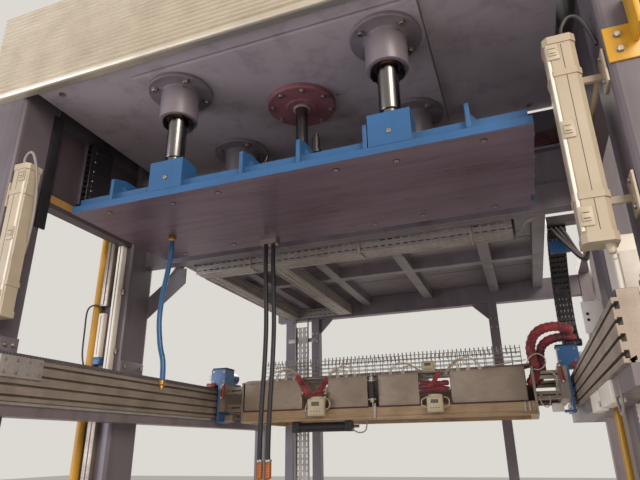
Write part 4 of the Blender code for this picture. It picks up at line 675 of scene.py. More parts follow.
def end_tree(tree, geometry, material):
    """The tree ends in real geometry with its material."""
    real = add_node(tree, "GeometryNodeRealizeInstances", {0: geometry})
    done = add_node(tree, "GeometryNodeSetMaterial", {"Geometry": real.outputs[0],
                    "Material": material})
    add_node(tree, "NodeGroupOutput", {0: done.outputs[0]})


def grow(obj, tree, **values):
    """Runs a tree on an object with the given inputs, and keeps the result as plain mesh."""
    modifier = obj.modifiers.new(tree.name, "NODES")
    modifier.node_group = tree
    keys = {item.name.replace(" ", "_").lower(): item.identifier
            for item in tree.interface.items_tree if item.in_out == "INPUT"}
    for label, value in values.items():
        modifier[keys[label]] = value
    obj.update_tag()
    bpy.context.view_layer.update()
    return apply_modifiers(obj)


FLOAT, WHOLE, MATTER = "NodeSocketFloat", "NodeSocketInt", "NodeSocketMaterial"
TUBE_TREE, given = new_tree("round skin", ("Radius", FLOAT, 0.005), ("Sides", WHOLE, 20),
                            ("Material", MATTER, None))
line = add_node(TUBE_TREE, "GeometryNodeMeshToCurve", {0: given["Geometry"]})
ring = add_node(TUBE_TREE, "GeometryNodeCurvePrimitiveCircle", {"Resolution": given["Sides"],
                "Radius": given["Radius"]})
skin = add_node(TUBE_TREE, "GeometryNodeCurveToMesh", {"Curve": line.outputs[0],
                "Profile Curve": ring.outputs[0], "Fill Caps": True})
sealed = add_node(TUBE_TREE, "GeometryNodeMergeByDistance", {0: skin.outputs[0], "Distance": 0.00001})
end_tree(TUBE_TREE, sealed.outputs[0], given["Material"])


def smooth_route(points, count=28):
    """Points at even steps along a smooth curve through the given points."""
    knots = [Vector(p) for p in points]
    padded = [2 * knots[0] - knots[1], *knots, 2 * knots[-1] - knots[-2]]
    dense = []
    for a, b, c, d in zip(padded, padded[1:], padded[2:], padded[3:]):
        for k in range(12):
            t = k / 12
            dense.append(0.5 * (2 * b + (c - a) * t + (2 * a - 5 * b + 4 * c - d) * t ** 2
                                + (3 * b - a - 3 * c + d) * t ** 3))
    dense.append(knots[-1])
    lengths = np.cumsum([0.0] + [(b - a).length for a, b in zip(dense, dense[1:])])
    wanted = np.linspace(0.0, lengths[-1], count)
    return [Vector(np.interp(w, lengths, [p[i] for p in dense]) for i in range(3)) for w in wanted]


def tubes(name, routes, radius, material, body, sides=20, count=28, stands_for=(),
          smooth=True):
    """Round tubes along smooth routes, or along straight runs that keep their corners."""
    verts, edges = [], []
    for points in routes:
        line = smooth_route(points, count) if smooth else points
        edges += [(len(verts) + k, len(verts) + k + 1) for k in range(len(line) - 1)]
        verts += line
    mesh = bpy.data.meshes.new(name)
    mesh.from_pydata(verts, edges, [])
    obj = grow(link_object(name, mesh), TUBE_TREE, radius=radius, sides=sides, material=material)
    shade(obj.data, 50)
    return keep(obj, material, body, stands_for)


print("round skin tree has", len(TUBE_TREE.nodes), "nodes")

# %% [markdown]
# Three hoses hang under the platen: a blue air hose with a brass end and two black ones side by side.
# Each leaves its fitting straight down and then follows the bend it kept from the reel. They hang by
# their own weight, so their lower ends stay plumb. A black hose ends in a ribbed ferrule, which is
# crimped on with rings that grip the rubber, under a bright collar.

# %% Hoses
SEAT = 0.0003
PLATEN_BOTTOM = 2.51
GLAND_LENGTH, MANIFOLD_HEIGHT = 0.024, 0.024
BLUE_RADIUS, BLACK_RADIUS = 0.012, 0.0105
BLUE_START = (-0.7, 0.06, PLATEN_BOTTOM - GLAND_LENGTH - 2 * SEAT)
BLUE_ROUTE = [BLUE_START, (-0.702, 0.062, 2.42), (-0.722, 0.075, 2.33), (-0.748, 0.088, 2.22),
              (-0.757, 0.095, 2.11), (-0.742, 0.098, 2.0), (-0.72, 0.098, 1.93),
              (-0.713, 0.098, 1.87), (-0.713, 0.098, 1.84)]
BLACK_STARTS = [(x, y, PLATEN_BOTTOM - MANIFOLD_HEIGHT - 2 * SEAT)
                for x, y in ((-0.305, 0.276), (-0.27, 0.286))]
BLACK_DRIFT = [(0.0, 0.0, 2.4), (0.004, 0.003, 2.25), (0.009, 0.004, 2.08),
               (0.007, 0.0, 1.9), (0.0, -0.004, 1.72), (-0.004, -0.004, 1.56),
               (-0.003, -0.002, 1.43)]


def hose(name, points, radius, material, node):
    """A hanging hose, which stands for a solid."""
    obj = tubes(name, [points], radius, material, PLATEN, sides=32, count=40, stands_for=(node,))
    return obj


blue_end = lathe("hose_end_blue_turned",
                 [(0, 1.8397), (0.0135, 1.8397), (0.015, 1.838), (0.015, 1.822), (0.0135, 1.8205),
                  (0.01, 1.8195), (0.0085, 1.8165), (0.0098, 1.8135), (0.0098, 1.803),
                  (0.0088, 1.8), (0, 1.8)],
                 (-0.713, 0.098, 0), BRASS, PLATEN, ("hose_end_blue",), steps=48)
hose("hose_blue_hanging", BLUE_ROUTE, BLUE_RADIUS, BLUE_HOSE, "hose_blue")
for side, (x, y, z) in zip(("left", "right"), BLACK_STARTS):
    points = [(x, y, z)] + [(x + dx, y + dy, level) for dx, dy, level in BLACK_DRIFT]
    end_x, end_y, end_z = points[-1]
    collar = lathe(f"hose_collar_{side}",
                   [(0.0108, end_z + 0.078), (0.015, end_z + 0.076), (0.0158, end_z + 0.071),
                    (0.015, end_z + 0.066), (0.0108, end_z + 0.065)],
                   (end_x, end_y, 0), ZINC, PLATEN, steps=40)
    ribs = [(0.0108, end_z + 0.0645)]
    for k in range(6):
        top = end_z + 0.063 - k * 0.01
        ribs += [(0.0136, top), (0.0146, top - 0.002), (0.0146, top - 0.006), (0.0136, top - 0.008)]
    ribs += [(0.0136, end_z + 0.002), (0.0108, end_z + 0.001)]
    ferrule = lathe(f"hose_ferrule_{side}", ribs, (end_x, end_y, 0), HOSE_END_METAL, PLATEN, steps=40)
    hose(f"hose_black_{side}_hanging", points, BLACK_RADIUS, BLACK_RUBBER,
         f"hose_black_{side}")
print("hoses hang from", BLUE_START[2], "and", BLACK_STARTS[0][2])

# %% [markdown]
# The blue hose starts in a brass gland. Its nut is what a spanner turns, and its lip keeps the
# hose from kinking where it comes out.

# %% Hose fittings
def hexagon(name, centres, flats, height, material, body):
    """Six-sided nuts with chamfered corners, given by the middle of their lower faces."""
    bm = bmesh.new()
    corner = flats / math.sqrt(3)
    for centre in centres:
        rings = []
        for r, h in ((corner * 0.92, 0), (corner, 0.12), (corner, 0.88), (corner * 0.92, 1.0)):
            rings.append([bm.verts.new(Vector(centre) + Vector(
                (r * math.cos(math.pi * k / 3), r * math.sin(math.pi * k / 3), h * height)))
                for k in range(6)])
        loft(bm, rings)
    return keep(object_of(name, bm, 25), material, body)


hexagon("hose_gland_nut", [(-0.7, 0.06, PLATEN_BOTTOM - 0.015)], 0.036, 0.0145, BRASS, PLATEN)
lathe("hose_gland_turned", [(0, 2.5095), (0.0125, 2.5095), (0.0125, 2.4965), (0.0155, 2.4955),
                            (0.0165, 2.4925), (0.0155, 2.4895), (0.0135, 2.4865), (0, 2.4865)],
      (-0.7, 0.06, 0), BRASS, PLATEN, ("hose_gland_blue",), steps=48)
print("hose fittings made")

# %% [markdown]
# Guide rods run in bronze bushes inside cast housings. The rods are ground and chromed, so they
# mirror the room and need a truly round surface. Below its shoulder each rod has a narrower neck.

# %% Guides
GUIDE_X, GUIDE_Y = 0.47, 0.282
GUIDE_PLACES = {c: ((-1 if "left" in c else 1) * GUIDE_X, (-1 if "front" in c else 1) * GUIDE_Y, 0)
                for c in CORNERS}
ROD_FOOT = PLATEN_BOTTOM + 0.031 + 0.132 + 2 * SEAT
for corner, place in GUIDE_PLACES.items():
    lathe(f"guide_rod_{corner}_ground",
          [(0, ROD_FOOT), (0.0315, ROD_FOOT), (0.033, ROD_FOOT + 0.0015), (0.033, ROD_FOOT + 0.026),
           (0.0385, ROD_FOOT + 0.028), (0.04, ROD_FOOT + 0.031), (0.04, 3.856), (0.0365, 3.86),
           (0, 3.86)], place, CHROME, PLATEN, (f"guide_rod_{corner}",), steps=128)
    lathe(f"guide_housing_{corner}_cast",
          [(0.0825, 3.16), (0.0825, 3.0517), (0.1385, 3.0517), (0.14, 3.0502), (0.14, 3.0345),
           (0.1375, 3.032), (0.0905, 3.0315), (0.0862, 3.0295), (0.0832, 3.0262), (0.0825, 3.021),
           (0.0825, 2.8955), (0.0808, 2.8912), (0.0765, 2.889), (0.066, 2.889), (0.0625, 2.892),
           (0.0605, 2.897), (0.0562, 2.8975), (0.0562, 3.16)],
          place, GREY_ENAMEL, FRAME, (f"guide_housing_{corner}",), steps=128)
    lathe(f"guide_bush_{corner}_turned",
          [(0.0557, 3.152), (0.0557, 2.9), (0.054, 2.8972), (0.0425, 2.8972), (0.0406, 2.9),
           (0.0406, 3.152)],
          place, BRONZE, FRAME, (f"guide_bush_{corner}",))
lathe("rod_flange_turned",
      [(0.0305, 3.0517), (0.156, 3.0517), (0.1575, 3.0502), (0.1575, 3.031), (0.1535, 3.027),
       (0.078, 3.027), (0.073, 3.0255), (0.07, 3.0225), (0.0685, 3.021), (0.0305, 3.021)],
      (0, 0, 0), RED_PRIMER, FRAME, ("rod_flange",), steps=128)
low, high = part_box("wiper_ring")
lathe("wiper_ring_moulded",
      [(0.0287, high[2]), (0.0405, high[2]), (0.041, high[2] - 0.001), (0.041, low[2] + 0.003),
       (0.037, low[2]), (0.0305, low[2]), (0.0287, low[2] + 0.0015)],
      (0, 0, 0), PALE_RUBBER, FRAME, ("wiper_ring",))
low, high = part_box("piston_rod")
lathe("piston_rod_ground",
      [(0, low[2]), (0.0265, low[2]), (0.028, low[2] + 0.0015), (0.028, high[2] - 0.004),
       (0.024, high[2]), (0, high[2])],
      (0, 0, 0), CHROME, PLATEN, ("piston_rod",), steps=128)
print("guides turned for", len(GUIDE_PLACES), "corners")

# %% [markdown]
# The platen plate is painted blue on its edges and top, as the frame welded on it is, and only the
# underside is left bare where tools are clamped. So the finished copy takes two materials, chosen by
# the way each face looks. The sawn edge has a round of 1.5 mm.

# %% Platen plate
plate_piece = dress("platen_plate", 1.5)
plate_piece.data.materials.append(BLUE_ENAMEL)
for face in plate_piece.data.polygons:
    face.material_index = 0 if face.normal.z < -0.97 else 1
print("platen plate has", len(plate_piece.data.polygons), "faces")

# %% [markdown]
# Upright plates stand along the platen's front edge, welded to the cross ribs, and one more stiffens
# the right rod block. They rise a hand's width and slope up to the rib behind them.

# %% Rib uprights
UPRIGHTS_X = (-0.74, -0.12, 0.12, 0.3798, 0.74)
UPRIGHT_FRONT, SLOPE_END, UPRIGHT_REAR = -0.3342, -0.262, -0.205
RIB_FOOT, UPRIGHT_TOP, RIB_TOP = 2.5414, 2.638, 2.6606
for number, x in enumerate(UPRIGHTS_X, start=1):
    plate(f"rib_upright_{number}",
          [(UPRIGHT_FRONT, RIB_FOOT), (UPRIGHT_FRONT, UPRIGHT_TOP), (SLOPE_END, RIB_TOP),
           (UPRIGHT_REAR, RIB_TOP), (UPRIGHT_REAR, RIB_FOOT)],
          0.0152, "YZ", x, BLUE_ENAMEL, PLATEN)
print("rib uprights:", len(UPRIGHTS_X))

# %% [markdown]
# A bolt is a washer, a six-sided head and a chamfer that takes the corners off. Geometry Nodes builds
# it once and sets it on every point of a small mesh. Each point carries the way its bolt faces, and
# a seeded random turn, because fitters never leave two heads at the same angle.

# %% Bolts by Geometry Nodes
BOLT_TREE, given = new_tree("hex bolts", ("Across Flats", FLOAT, 0.019), ("Head Height", FLOAT, 0.008),
                            ("Washer Radius", FLOAT, 0.012), ("Washer Thickness", FLOAT, 0.0025),
                            ("Seed", WHOLE, 1), ("Material", MATTER, None))


def raised(tree, geometry, height):
    """Geometry moved up by a socket's value."""
    shift = add_node(tree, "ShaderNodeCombineXYZ", {"Z": height})
    return add_node(tree, "GeometryNodeTransform", {"Geometry": geometry,
                    "Translation": shift.outputs[0]}).outputs[0]


corner_radius = arithmetic(BOLT_TREE, "DIVIDE", given["Across Flats"], math.sqrt(3))
straight = arithmetic(BOLT_TREE, "MULTIPLY", given["Head Height"], 0.82)
chamfer = arithmetic(BOLT_TREE, "MULTIPLY", given["Head Height"], 0.18)
head = add_node(BOLT_TREE, "GeometryNodeMeshCylinder", {"Vertices": 6, "Radius": corner_radius,
                "Depth": straight})
top = add_node(BOLT_TREE, "GeometryNodeExtrudeMesh", {"Mesh": head.outputs["Mesh"],
               "Selection": head.outputs["Top"], "Offset Scale": chamfer})
top = add_node(BOLT_TREE, "GeometryNodeScaleElements", {"Geometry": top.outputs["Mesh"],
               "Selection": top.outputs["Top"], "Scale": 0.86})
lift = arithmetic(BOLT_TREE, "ADD", arithmetic(BOLT_TREE, "MULTIPLY", straight, 0.5),
                  given["Washer Thickness"])
washer = add_node(BOLT_TREE, "GeometryNodeMeshCylinder", {"Vertices": 32,
                  "Radius": given["Washer Radius"], "Depth": given["Washer Thickness"]})
half_washer = arithmetic(BOLT_TREE, "MULTIPLY", given["Washer Thickness"], 0.5)
both = add_node(BOLT_TREE, "GeometryNodeJoinGeometry")
for part in (raised(BOLT_TREE, top.outputs[0], lift),
             raised(BOLT_TREE, washer.outputs["Mesh"], half_washer)):
    BOLT_TREE.links.new(part, both.inputs[0])


def looking(tree):
    """A rotation that looks along the point's facing."""
    facing = add_node(tree, "GeometryNodeInputNamedAttribute", {"Name": "facing"},
                      data_type="FLOAT_VECTOR")
    return add_node(tree, "FunctionNodeAlignRotationToVector", {"Vector": facing.outputs[0]},
                    axis="Z").outputs[0]


def facing_turn(tree, seed):
    """The same rotation with a random turn about it."""
    angle = add_node(tree, "FunctionNodeRandomValue", {"Seed": seed}, data_type="FLOAT")
    angle.inputs[2].default_value = 0.0
    angle.inputs[3].default_value = math.pi / 3
    spin = add_node(tree, "ShaderNodeCombineXYZ", {"Z": angle.outputs[1]})
    euler = add_node(tree, "FunctionNodeEulerToRotation", {0: spin.outputs[0]})
    return add_node(tree, "FunctionNodeRotateRotation", {0: looking(tree), 1: euler.outputs[0]},
                    rotation_space="LOCAL").outputs[0]


placed = add_node(BOLT_TREE, "GeometryNodeInstanceOnPoints", {"Points": given["Geometry"],
                  "Instance": both.outputs[0], "Rotation": facing_turn(BOLT_TREE, given["Seed"])})
end_tree(BOLT_TREE, placed.outputs[0], given["Material"])


def facing_points(name, spots):
    """A mesh of bare points. Each spot is a place and the way out of the surface."""
    mesh = bpy.data.meshes.new(name)
    mesh.from_pydata([place for place, way in spots], [], [])
    facing = mesh.attributes.new("facing", "FLOAT_VECTOR", "POINT")
    facing.data.foreach_set("vector", [v for place, way in spots for v in way])
    return link_object(name, mesh)


def bolts(name, spots, flats_mm, body, seed=1):
    """Hex bolts of one size on the given spots, with a washer under each."""
    flats = flats_mm / 1000
    obj = grow(facing_points(name, spots), BOLT_TREE, across_flats=flats, head_height=flats * 0.42,
               washer_radius=flats * 0.64, washer_thickness=flats * 0.11, seed=seed,
               material=ZINC)
    shade(obj.data, 25)
    return keep(obj, ZINC, body)


def ring_of(centre, radius, z, count, start, way):
    """Spots round a circle."""
    turns = (math.radians(start + 360 * k / count) for k in range(count))
    return [((centre[0] + radius * math.cos(a), centre[1] + radius * math.sin(a), z), way)
            for a in turns]


UP, DOWN, LEFT, RIGHT, FRONT = (0, 0, 1), (0, 0, -1), (-1, 0, 0), (1, 0, 0), (0, -1, 0)
guide_bolts = [spot for place in GUIDE_PLACES.values()
               for spot in ring_of(place, 0.1135, 3.0318, 4, 45, DOWN)]
bolts("guide_flange_bolts", guide_bolts, 24, FRAME)
bolts("rod_flange_bolts", ring_of((0, 0), 0.134, 3.0268, 8, 22.5, DOWN), 19, FRAME, seed=3)
bolts("cylinder_cap_bolts", ring_of((0, 0), 0.076, 4.0903, 6, 30, UP), 13, FRAME, seed=4)
feet = [((sx * 1.366, sy * 0.405 + dy, 0.0253), UP) for sx in (-1, 1) for sy in (-1, 1)
        for dy in (-0.1, 0.1)]
bolts("column_anchor_nuts", feet, 19, FRAME, seed=5)
print("bolts set:", len(guide_bolts) + 8 + 6 + len(feet))

# %% [markdown]
# Socket screws sink into counterbores in the platen's underside. The counterbores are not cut: a flat dark
# disc under each head is painted shade for the recess, so from below each shows a dark ring, a bright head
# and a dark hole. The prototype is turned once and set on points by a second tree, which takes any object
# as its fitting.

# %% Socket screws
FITTING_TREE, given = new_tree("fittings on points", ("Fitting", "NodeSocketObject", None),
                               ("Seed", WHOLE, 1), ("Material", MATTER, None))
shape = add_node(FITTING_TREE, "GeometryNodeObjectInfo", {"Object": given["Fitting"],
                 "As Instance": True})
placed = add_node(FITTING_TREE, "GeometryNodeInstanceOnPoints", {"Points": given["Geometry"],
                  "Instance": shape.outputs["Geometry"],
                  "Rotation": facing_turn(FITTING_TREE, given["Seed"])})
end_tree(FITTING_TREE, placed.outputs[0], given["Material"])


def turned_fitting(profile, steps=24):
    """A small turned prototype, which rides on nothing and is removed after use."""
    bm = bmesh.new()
    verts = [bm.verts.new((r, 0, h)) for r, h in profile]
    edges = [bm.edges.new(pair) for pair in zip(verts, verts[1:])]
    bmesh.ops.spin(bm, geom=verts + edges, cent=(0, 0, 0), axis=(0, 0, 1), dvec=(0, 0, 0),
                   angle=2 * math.pi, steps=steps, use_merge=True)
    bmesh.ops.remove_doubles(bm, verts=bm.verts, dist=0.00002)
    bmesh.ops.recalc_face_normals(bm, faces=bm.faces)
    return object_of("fitting", bm)


def fittings(name, profile, spots, material, body, steps=24, seed=1):
    """Small turned parts of one profile, one on each spot."""
    prototype = turned_fitting(profile, steps)
    obj = grow(facing_points(name, spots), FITTING_TREE, fitting=prototype, seed=seed,
               material=material)
    bpy.data.objects.remove(prototype)
    shade(obj.data, 35)
    return keep(obj, material, body)


def socket_head(radius, height):
    """Profile of a cap screw's head with its socket, from the rim to the middle of the socket."""
    return [(0.0, -0.0004), (radius * 0.98, -0.0004), (radius, height * 0.15), (radius, height * 0.8),
            (radius * 0.9, height), (radius * 0.5, height), (radius * 0.47, height * 0.4),
            (0.0, height * 0.35)]


screw_spots = [((sx * x, sy * y, 2.5098), DOWN) for sx in (-1, 1) for sy in (-1, 1)
               for x, y in ((0.25, 0.277), (0.475, 0.26), (0.78, 0.285))]
fittings("platen_screws", socket_head(0.009, 0.003), screw_spots, ZINC, PLATEN)
# Flat dark discs under the heads are painted shade for the counterbores.
fittings("platen_counterbores",
         [(0.0, 0.0), (0.0125, 0.0), (0.0132, 0.0006), (0.0125, 0.0012), (0.0, 0.0012)],
         [((x, y, z + 0.0002), way) for (x, y, z), way in screw_spots], TORN_RUBBER_AND_SHADE, PLATEN,
         steps=32)
block_spots = [((sx * 0.47, sy * 0.3353, 2.593), (0, sy, 0)) for sx in (-1, 1) for sy in (-1, 1)]
fittings("platen_block_screws", socket_head(0.009, 0.004), block_spots, ZINC, PLATEN, seed=2)
side_screws = [((sx * 0.9403, y, 2.5255), (sx, 0, 0)) for sx in (-1, 1)
               for y in (-0.24, -0.08, 0.08, 0.24)]
fittings("platen_side_screws", socket_head(0.006, 0.003), side_screws, ZINC, PLATEN, seed=6)
print("socket screws set:", len(screw_spots) + len(block_spots) + len(side_screws))

# %% [markdown]
# A rubber scraper sits in each housing's mouth and keeps dirt off the rod. On this old press the
# scrapers are torn, and their rags hang out below the mouth. A rag is a thin ring whose lower edge
# wanders up and down, so its height comes from a few sine waves of the angle, different in each corner.

# %% Torn scrapers
def scraper(corner, place, phase):
    """A thin double-walled ring whose lower edge hangs in rags."""
    steps, layers = 120, 5
    bm = bmesh.new()
    sheets = []
    for inset in (0.0, 0.0016):
        grid = []
        for k in range(steps):
            a = 2 * math.pi * k / steps
            ragged = (0.42 + 0.38 * math.sin(a) + 0.18 * math.sin(3 * a + phase)
                      + 0.14 * math.sin(8 * a + 2 * phase) + 0.1 * math.sin(19 * a + 3 * phase))
            drop = 0.003 + 0.026 * max(0.0, ragged)
            column = []
            for level in range(layers + 1):
                share = level / layers
                flare = 0.0515 + 0.015 * share ** 0.7 - inset + 0.0016 * math.sin(6 * a + phase) * share
                z = 2.8968 - 0.0075 * share ** 0.5 - drop * share
                column.append(bm.verts.new((place[0] + flare * math.cos(a),
                                            place[1] + flare * math.sin(a), z)))
            grid.append(column)
        sheets.append(grid)
    for sheet, flip in zip(sheets, (False, True)):
        for k in range(steps):
            n = (k + 1) % steps
            for level in range(layers):
                quad = (sheet[k][level], sheet[n][level], sheet[n][level + 1], sheet[k][level + 1])
                bm.faces.new(quad[::-1] if flip else quad)
    for k in range(steps):
        n = (k + 1) % steps
        for level in (0, layers):
            bm.faces.new((sheets[0][k][level], sheets[0][n][level], sheets[1][n][level],
                          sheets[1][k][level]))
    bmesh.ops.recalc_face_normals(bm, faces=bm.faces)
    keep(object_of(f"guide_scraper_{corner}", bm, 60), TORN_RUBBER_AND_SHADE, FRAME)


for number, (corner, place) in enumerate(GUIDE_PLACES.items()):
    scraper(corner, place, 1.3 * number + 0.4)
print("scrapers hang in", len(GUIDE_PLACES), "mouths")

# %% [markdown]
# The crown's doubler plate is welded on all round, so a thin round bead runs along each of its seams.
# A dark capped nipple stands on the platen beside the hub, and a clamp ring holds the tube above.

# %% Crown details
WELD_X, WELD_Y, WELD_Z = 0.6205, 0.4305, 3.0695
corners = [(sx * WELD_X, sy * WELD_Y, WELD_Z) for sx, sy in ((-1, -1), (1, -1), (1, 1), (-1, 1))]
rods("doubler_weld", list(zip(corners, corners[1:] + corners[:1])), 0.0042, GREY_ENAMEL, FRAME,
     sides=10, chamfer=0.4)
lathe("oil_nipple", [(0, 2.6735), (0.024, 2.6735), (0.024, 2.688), (0.017, 2.692), (0.017, 2.748),
                     (0.012, 2.752), (0.012, 2.764), (0, 2.764)], (0.125, -0.15, 0), TORN_RUBBER_AND_SHADE,
      PLATEN, steps=32)
lathe("tube_clamp_ring", [(0.0755, 3.572), (0.128, 3.572), (0.13, 3.57), (0.13, 3.543),
                          (0.128, 3.541), (0.0755, 3.541)], (0, 0, 0), GREY_ENAMEL, FRAME)
bolts("tube_clamp_bolts", ring_of((0, 0), 0.108, 3.5723, 8, 22.5, UP), 19, FRAME, seed=7)
low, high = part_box("cylinder_tube")
lathe("cylinder_tube_collar", [(0.0755, high[2] - 0.004), (0.0815, high[2] - 0.005),
                               (0.0825, high[2] - 0.02), (0.0755, high[2] - 0.022)],
      (0, 0, 0), GREY_ENAMEL, FRAME)
print("crown details made")

# %% [markdown]
# The heater boxes stand in a folded pan. Real pans have a rolled lip under the front face, seams
# where two lengths meet, and a dark gasket under each box. These thin pieces give the front its lines.

# %% Carriage front
CAR_FRONT = 1.075
PAN_TOP, PAN_LOW, PAN_HALF = 1.76, 1.694, 0.83
BOX_TOP = 1.93
BOXES_X = [(low[0], high[0]) for low, high in map(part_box, HEATER_BOXES)]

boxes("pan_lip", [((-PAN_HALF + 0.001, CAR_FRONT - 0.007, PAN_LOW + 0.001),
                   (-0.004, CAR_FRONT + 0.004, PAN_LOW + 0.017)),
                  ((0.004, CAR_FRONT - 0.007, PAN_LOW + 0.001),
                   (PAN_HALF - 0.001, CAR_FRONT + 0.004, PAN_LOW + 0.017))],
      TINTED_SHEET, CARRIAGE, 2.5)
boxes("pan_gasket", [((left + 0.001, CAR_FRONT - 0.003, PAN_TOP - 0.004),
                      (right - 0.001, CAR_FRONT + 0.004, PAN_TOP + 0.0045)) for left, right in BOXES_X],
      RED_CABLE, CARRIAGE, 1.2)
boxes("pan_joint", [((-0.011, CAR_FRONT - 0.009, PAN_LOW + 0.004),
                     (0.002, CAR_FRONT + 0.004, PAN_TOP + 0.02)),
                    ((0.778, CAR_FRONT - 0.006, PAN_LOW + 0.01),
                     (0.786, CAR_FRONT + 0.004, PAN_TOP - 0.002)),
                    ((0.8, CAR_FRONT - 0.006, PAN_LOW + 0.01),
                     (0.808, CAR_FRONT + 0.004, PAN_TOP - 0.002))],
      ZINC, CARRIAGE, 1.5)
boxes("box_lid_edges",
      [((left + 0.004, CAR_FRONT - 0.0025, BOX_TOP - 0.011),
        (right - 0.004, CAR_FRONT + 0.004, BOX_TOP - 0.002)) for left, right in BOXES_X]
      + [((left + 0.004, CAR_FRONT - 0.002, PAN_TOP + 0.006),
          (right - 0.004, CAR_FRONT + 0.004, PAN_TOP + 0.013)) for left, right in BOXES_X],
      SHEET_STEEL, CARRIAGE, 1.2)
rivet_spots = [((x, CAR_FRONT - 0.0002, z), FRONT) for left, right in BOXES_X
               for x in (left + 0.016, right - 0.016) for z in (PAN_TOP + 0.03, BOX_TOP - 0.028)]
fittings("box_rivets", [(0.0, -0.0003), (0.0035, -0.0003), (0.0032, 0.001), (0.0018, 0.0019),
                        (0.0, 0.0022)], rivet_spots, SHEET_STEEL, CARRIAGE, steps=16)
boxes("carriage_top_rail",
      [((-PAN_HALF, CAR_FRONT + 0.055, BOX_TOP + 0.0005), (PAN_HALF, CAR_FRONT + 0.073, BOX_TOP + 0.016)),
       ((-PAN_HALF, CAR_FRONT + 0.018, BOX_TOP + 0.0005), (0.8, CAR_FRONT + 0.026, BOX_TOP + 0.007))],
      PROFILE_ALUMINIUM, CARRIAGE, 1.5)
boxes("carriage_top_seal", [((-PAN_HALF, CAR_FRONT + 0.034, BOX_TOP + 0.0005),
                             (PAN_HALF, CAR_FRONT + 0.042, BOX_TOP + 0.011))],
      RED_CABLE, CARRIAGE, 2.0)
print("carriage front lines on", len(BOXES_X), "boxes")

# %% [markdown]
# Heater rods are wired through fired ceramic beads, because plastic would melt there. Every bead sits
# on a box with a small steel screw, and its glass-braided wire arches up and over to a sleeve.
# Each arch is drawn a little different, as hand-made wiring is.

# %% Ceramic beads and wires
BEAD_GROUPS = {
    "one": ((-0.665, -0.612, -0.555, -0.499), (-0.47, 1.1, 1.951)),
    "two": ((-0.223, -0.171, -0.12), (-0.286, 1.1, 1.936)),
    "three": ((0.091, 0.162), (0.262, 1.12, 1.925)),
    "four": ((0.464, 0.519, 0.578), (0.392, 1.095, 1.915)),
}
random = np.random.default_rng(7)
bead_spots, wire_routes = [], []
for xs, gather in BEAD_GROUPS.values():
    for x in xs:
        bead_spots.append(((x, CAR_FRONT + 0.012, BOX_TOP - 0.0005), UP))
        for strand in (-1, 1):
            lean = 0.006 * strand + 0.004 * random.uniform(-1, 1)
            reach = gather[0] - x
            peak = 1.962 + 0.2 * abs(reach) + 0.012 * random.uniform(-1, 1)
            wire_routes.append([
                (x + lean * 0.3, CAR_FRONT + 0.012, BOX_TOP + 0.016),
                (x + lean + 0.04 * reach, CAR_FRONT + 0.016, BOX_TOP + 0.034),
                (x + lean + 0.32 * reach, CAR_FRONT + 0.024, peak),
                (x + 0.72 * reach, CAR_FRONT + 0.03 + lean, (peak + gather[2]) / 2 + 0.014),
                (gather[0] + lean, gather[1], gather[2])])
fittings("ceramic_beads",
         [(0.0, 0.0), (0.0086, 0.0), (0.01, 0.0016), (0.01, 0.0085), (0.0088, 0.01),
          (0.0088, 0.0112), (0.01, 0.0125), (0.01, 0.0175), (0.008, 0.02), (0.0026, 0.0205),
          (0.0, 0.0205)], bead_spots, CERAMIC, CARRIAGE, steps=24)
fittings("bead_screws", [(0.0, 0.0), (0.0052, 0.0), (0.0052, 0.003), (0.004, 0.0042), (0.0, 0.0042)],
         [((x, y - 0.0098, z + 0.0095), FRONT) for (x, y, z), way in bead_spots], ZINC, CARRIAGE, steps=16)
tubes("bead_wires", wire_routes, 0.0023, CREAM_WIRE, CARRIAGE, sides=10, count=26)
print("beads:", len(bead_spots), "wires:", len(wire_routes))

# %% [markdown]
# Woven sleeves gather the wires and shield them from the heat. They crush a little where they bend,
# so each is a tube whose radius wanders along its length, with the bend's own folds on top.

# %% Red sleeves
CRUSH = 0.06


def sleeve(name, points, radius, material, folds=9, count=48):
    """A soft sleeve: a swept tube with folds from sine waves, and rounded closed ends."""
    line = smooth_route(points, count)
    steps = 28
    bm = bmesh.new()
    rings = []
    side = Vector((0, 1, 0))
    for k, here in enumerate(line):
        along = (line[min(k + 1, count - 1)] - line[max(k - 1, 0)]).normalized()
        side = (side - along * side.dot(along)).normalized()
        other = along.cross(side)
        share = k / (count - 1)
        taper = min(1.0, (min(share, 1 - share) * count / 2.2) ** 0.5)
        ring = []
        for n in range(steps):
            a = 2 * math.pi * n / steps
            wave = math.sin(folds * 2 * math.pi * share + 1.7 * math.sin(a)) * CRUSH
            wave += 0.05 * math.sin(3 * a + 11 * share) + 0.03 * math.sin(5 * a - 23 * share)
            r = radius * taper * (1 + wave) * 0.94
            ring.append(bm.verts.new(here + side * r * math.cos(a) + other * r * math.sin(a)))
        rings.append(ring)
    loft(bm, rings)
    bmesh.ops.recalc_face_normals(bm, faces=bm.faces)
    return keep(object_of(name, bm, 75), material, CARRIAGE)


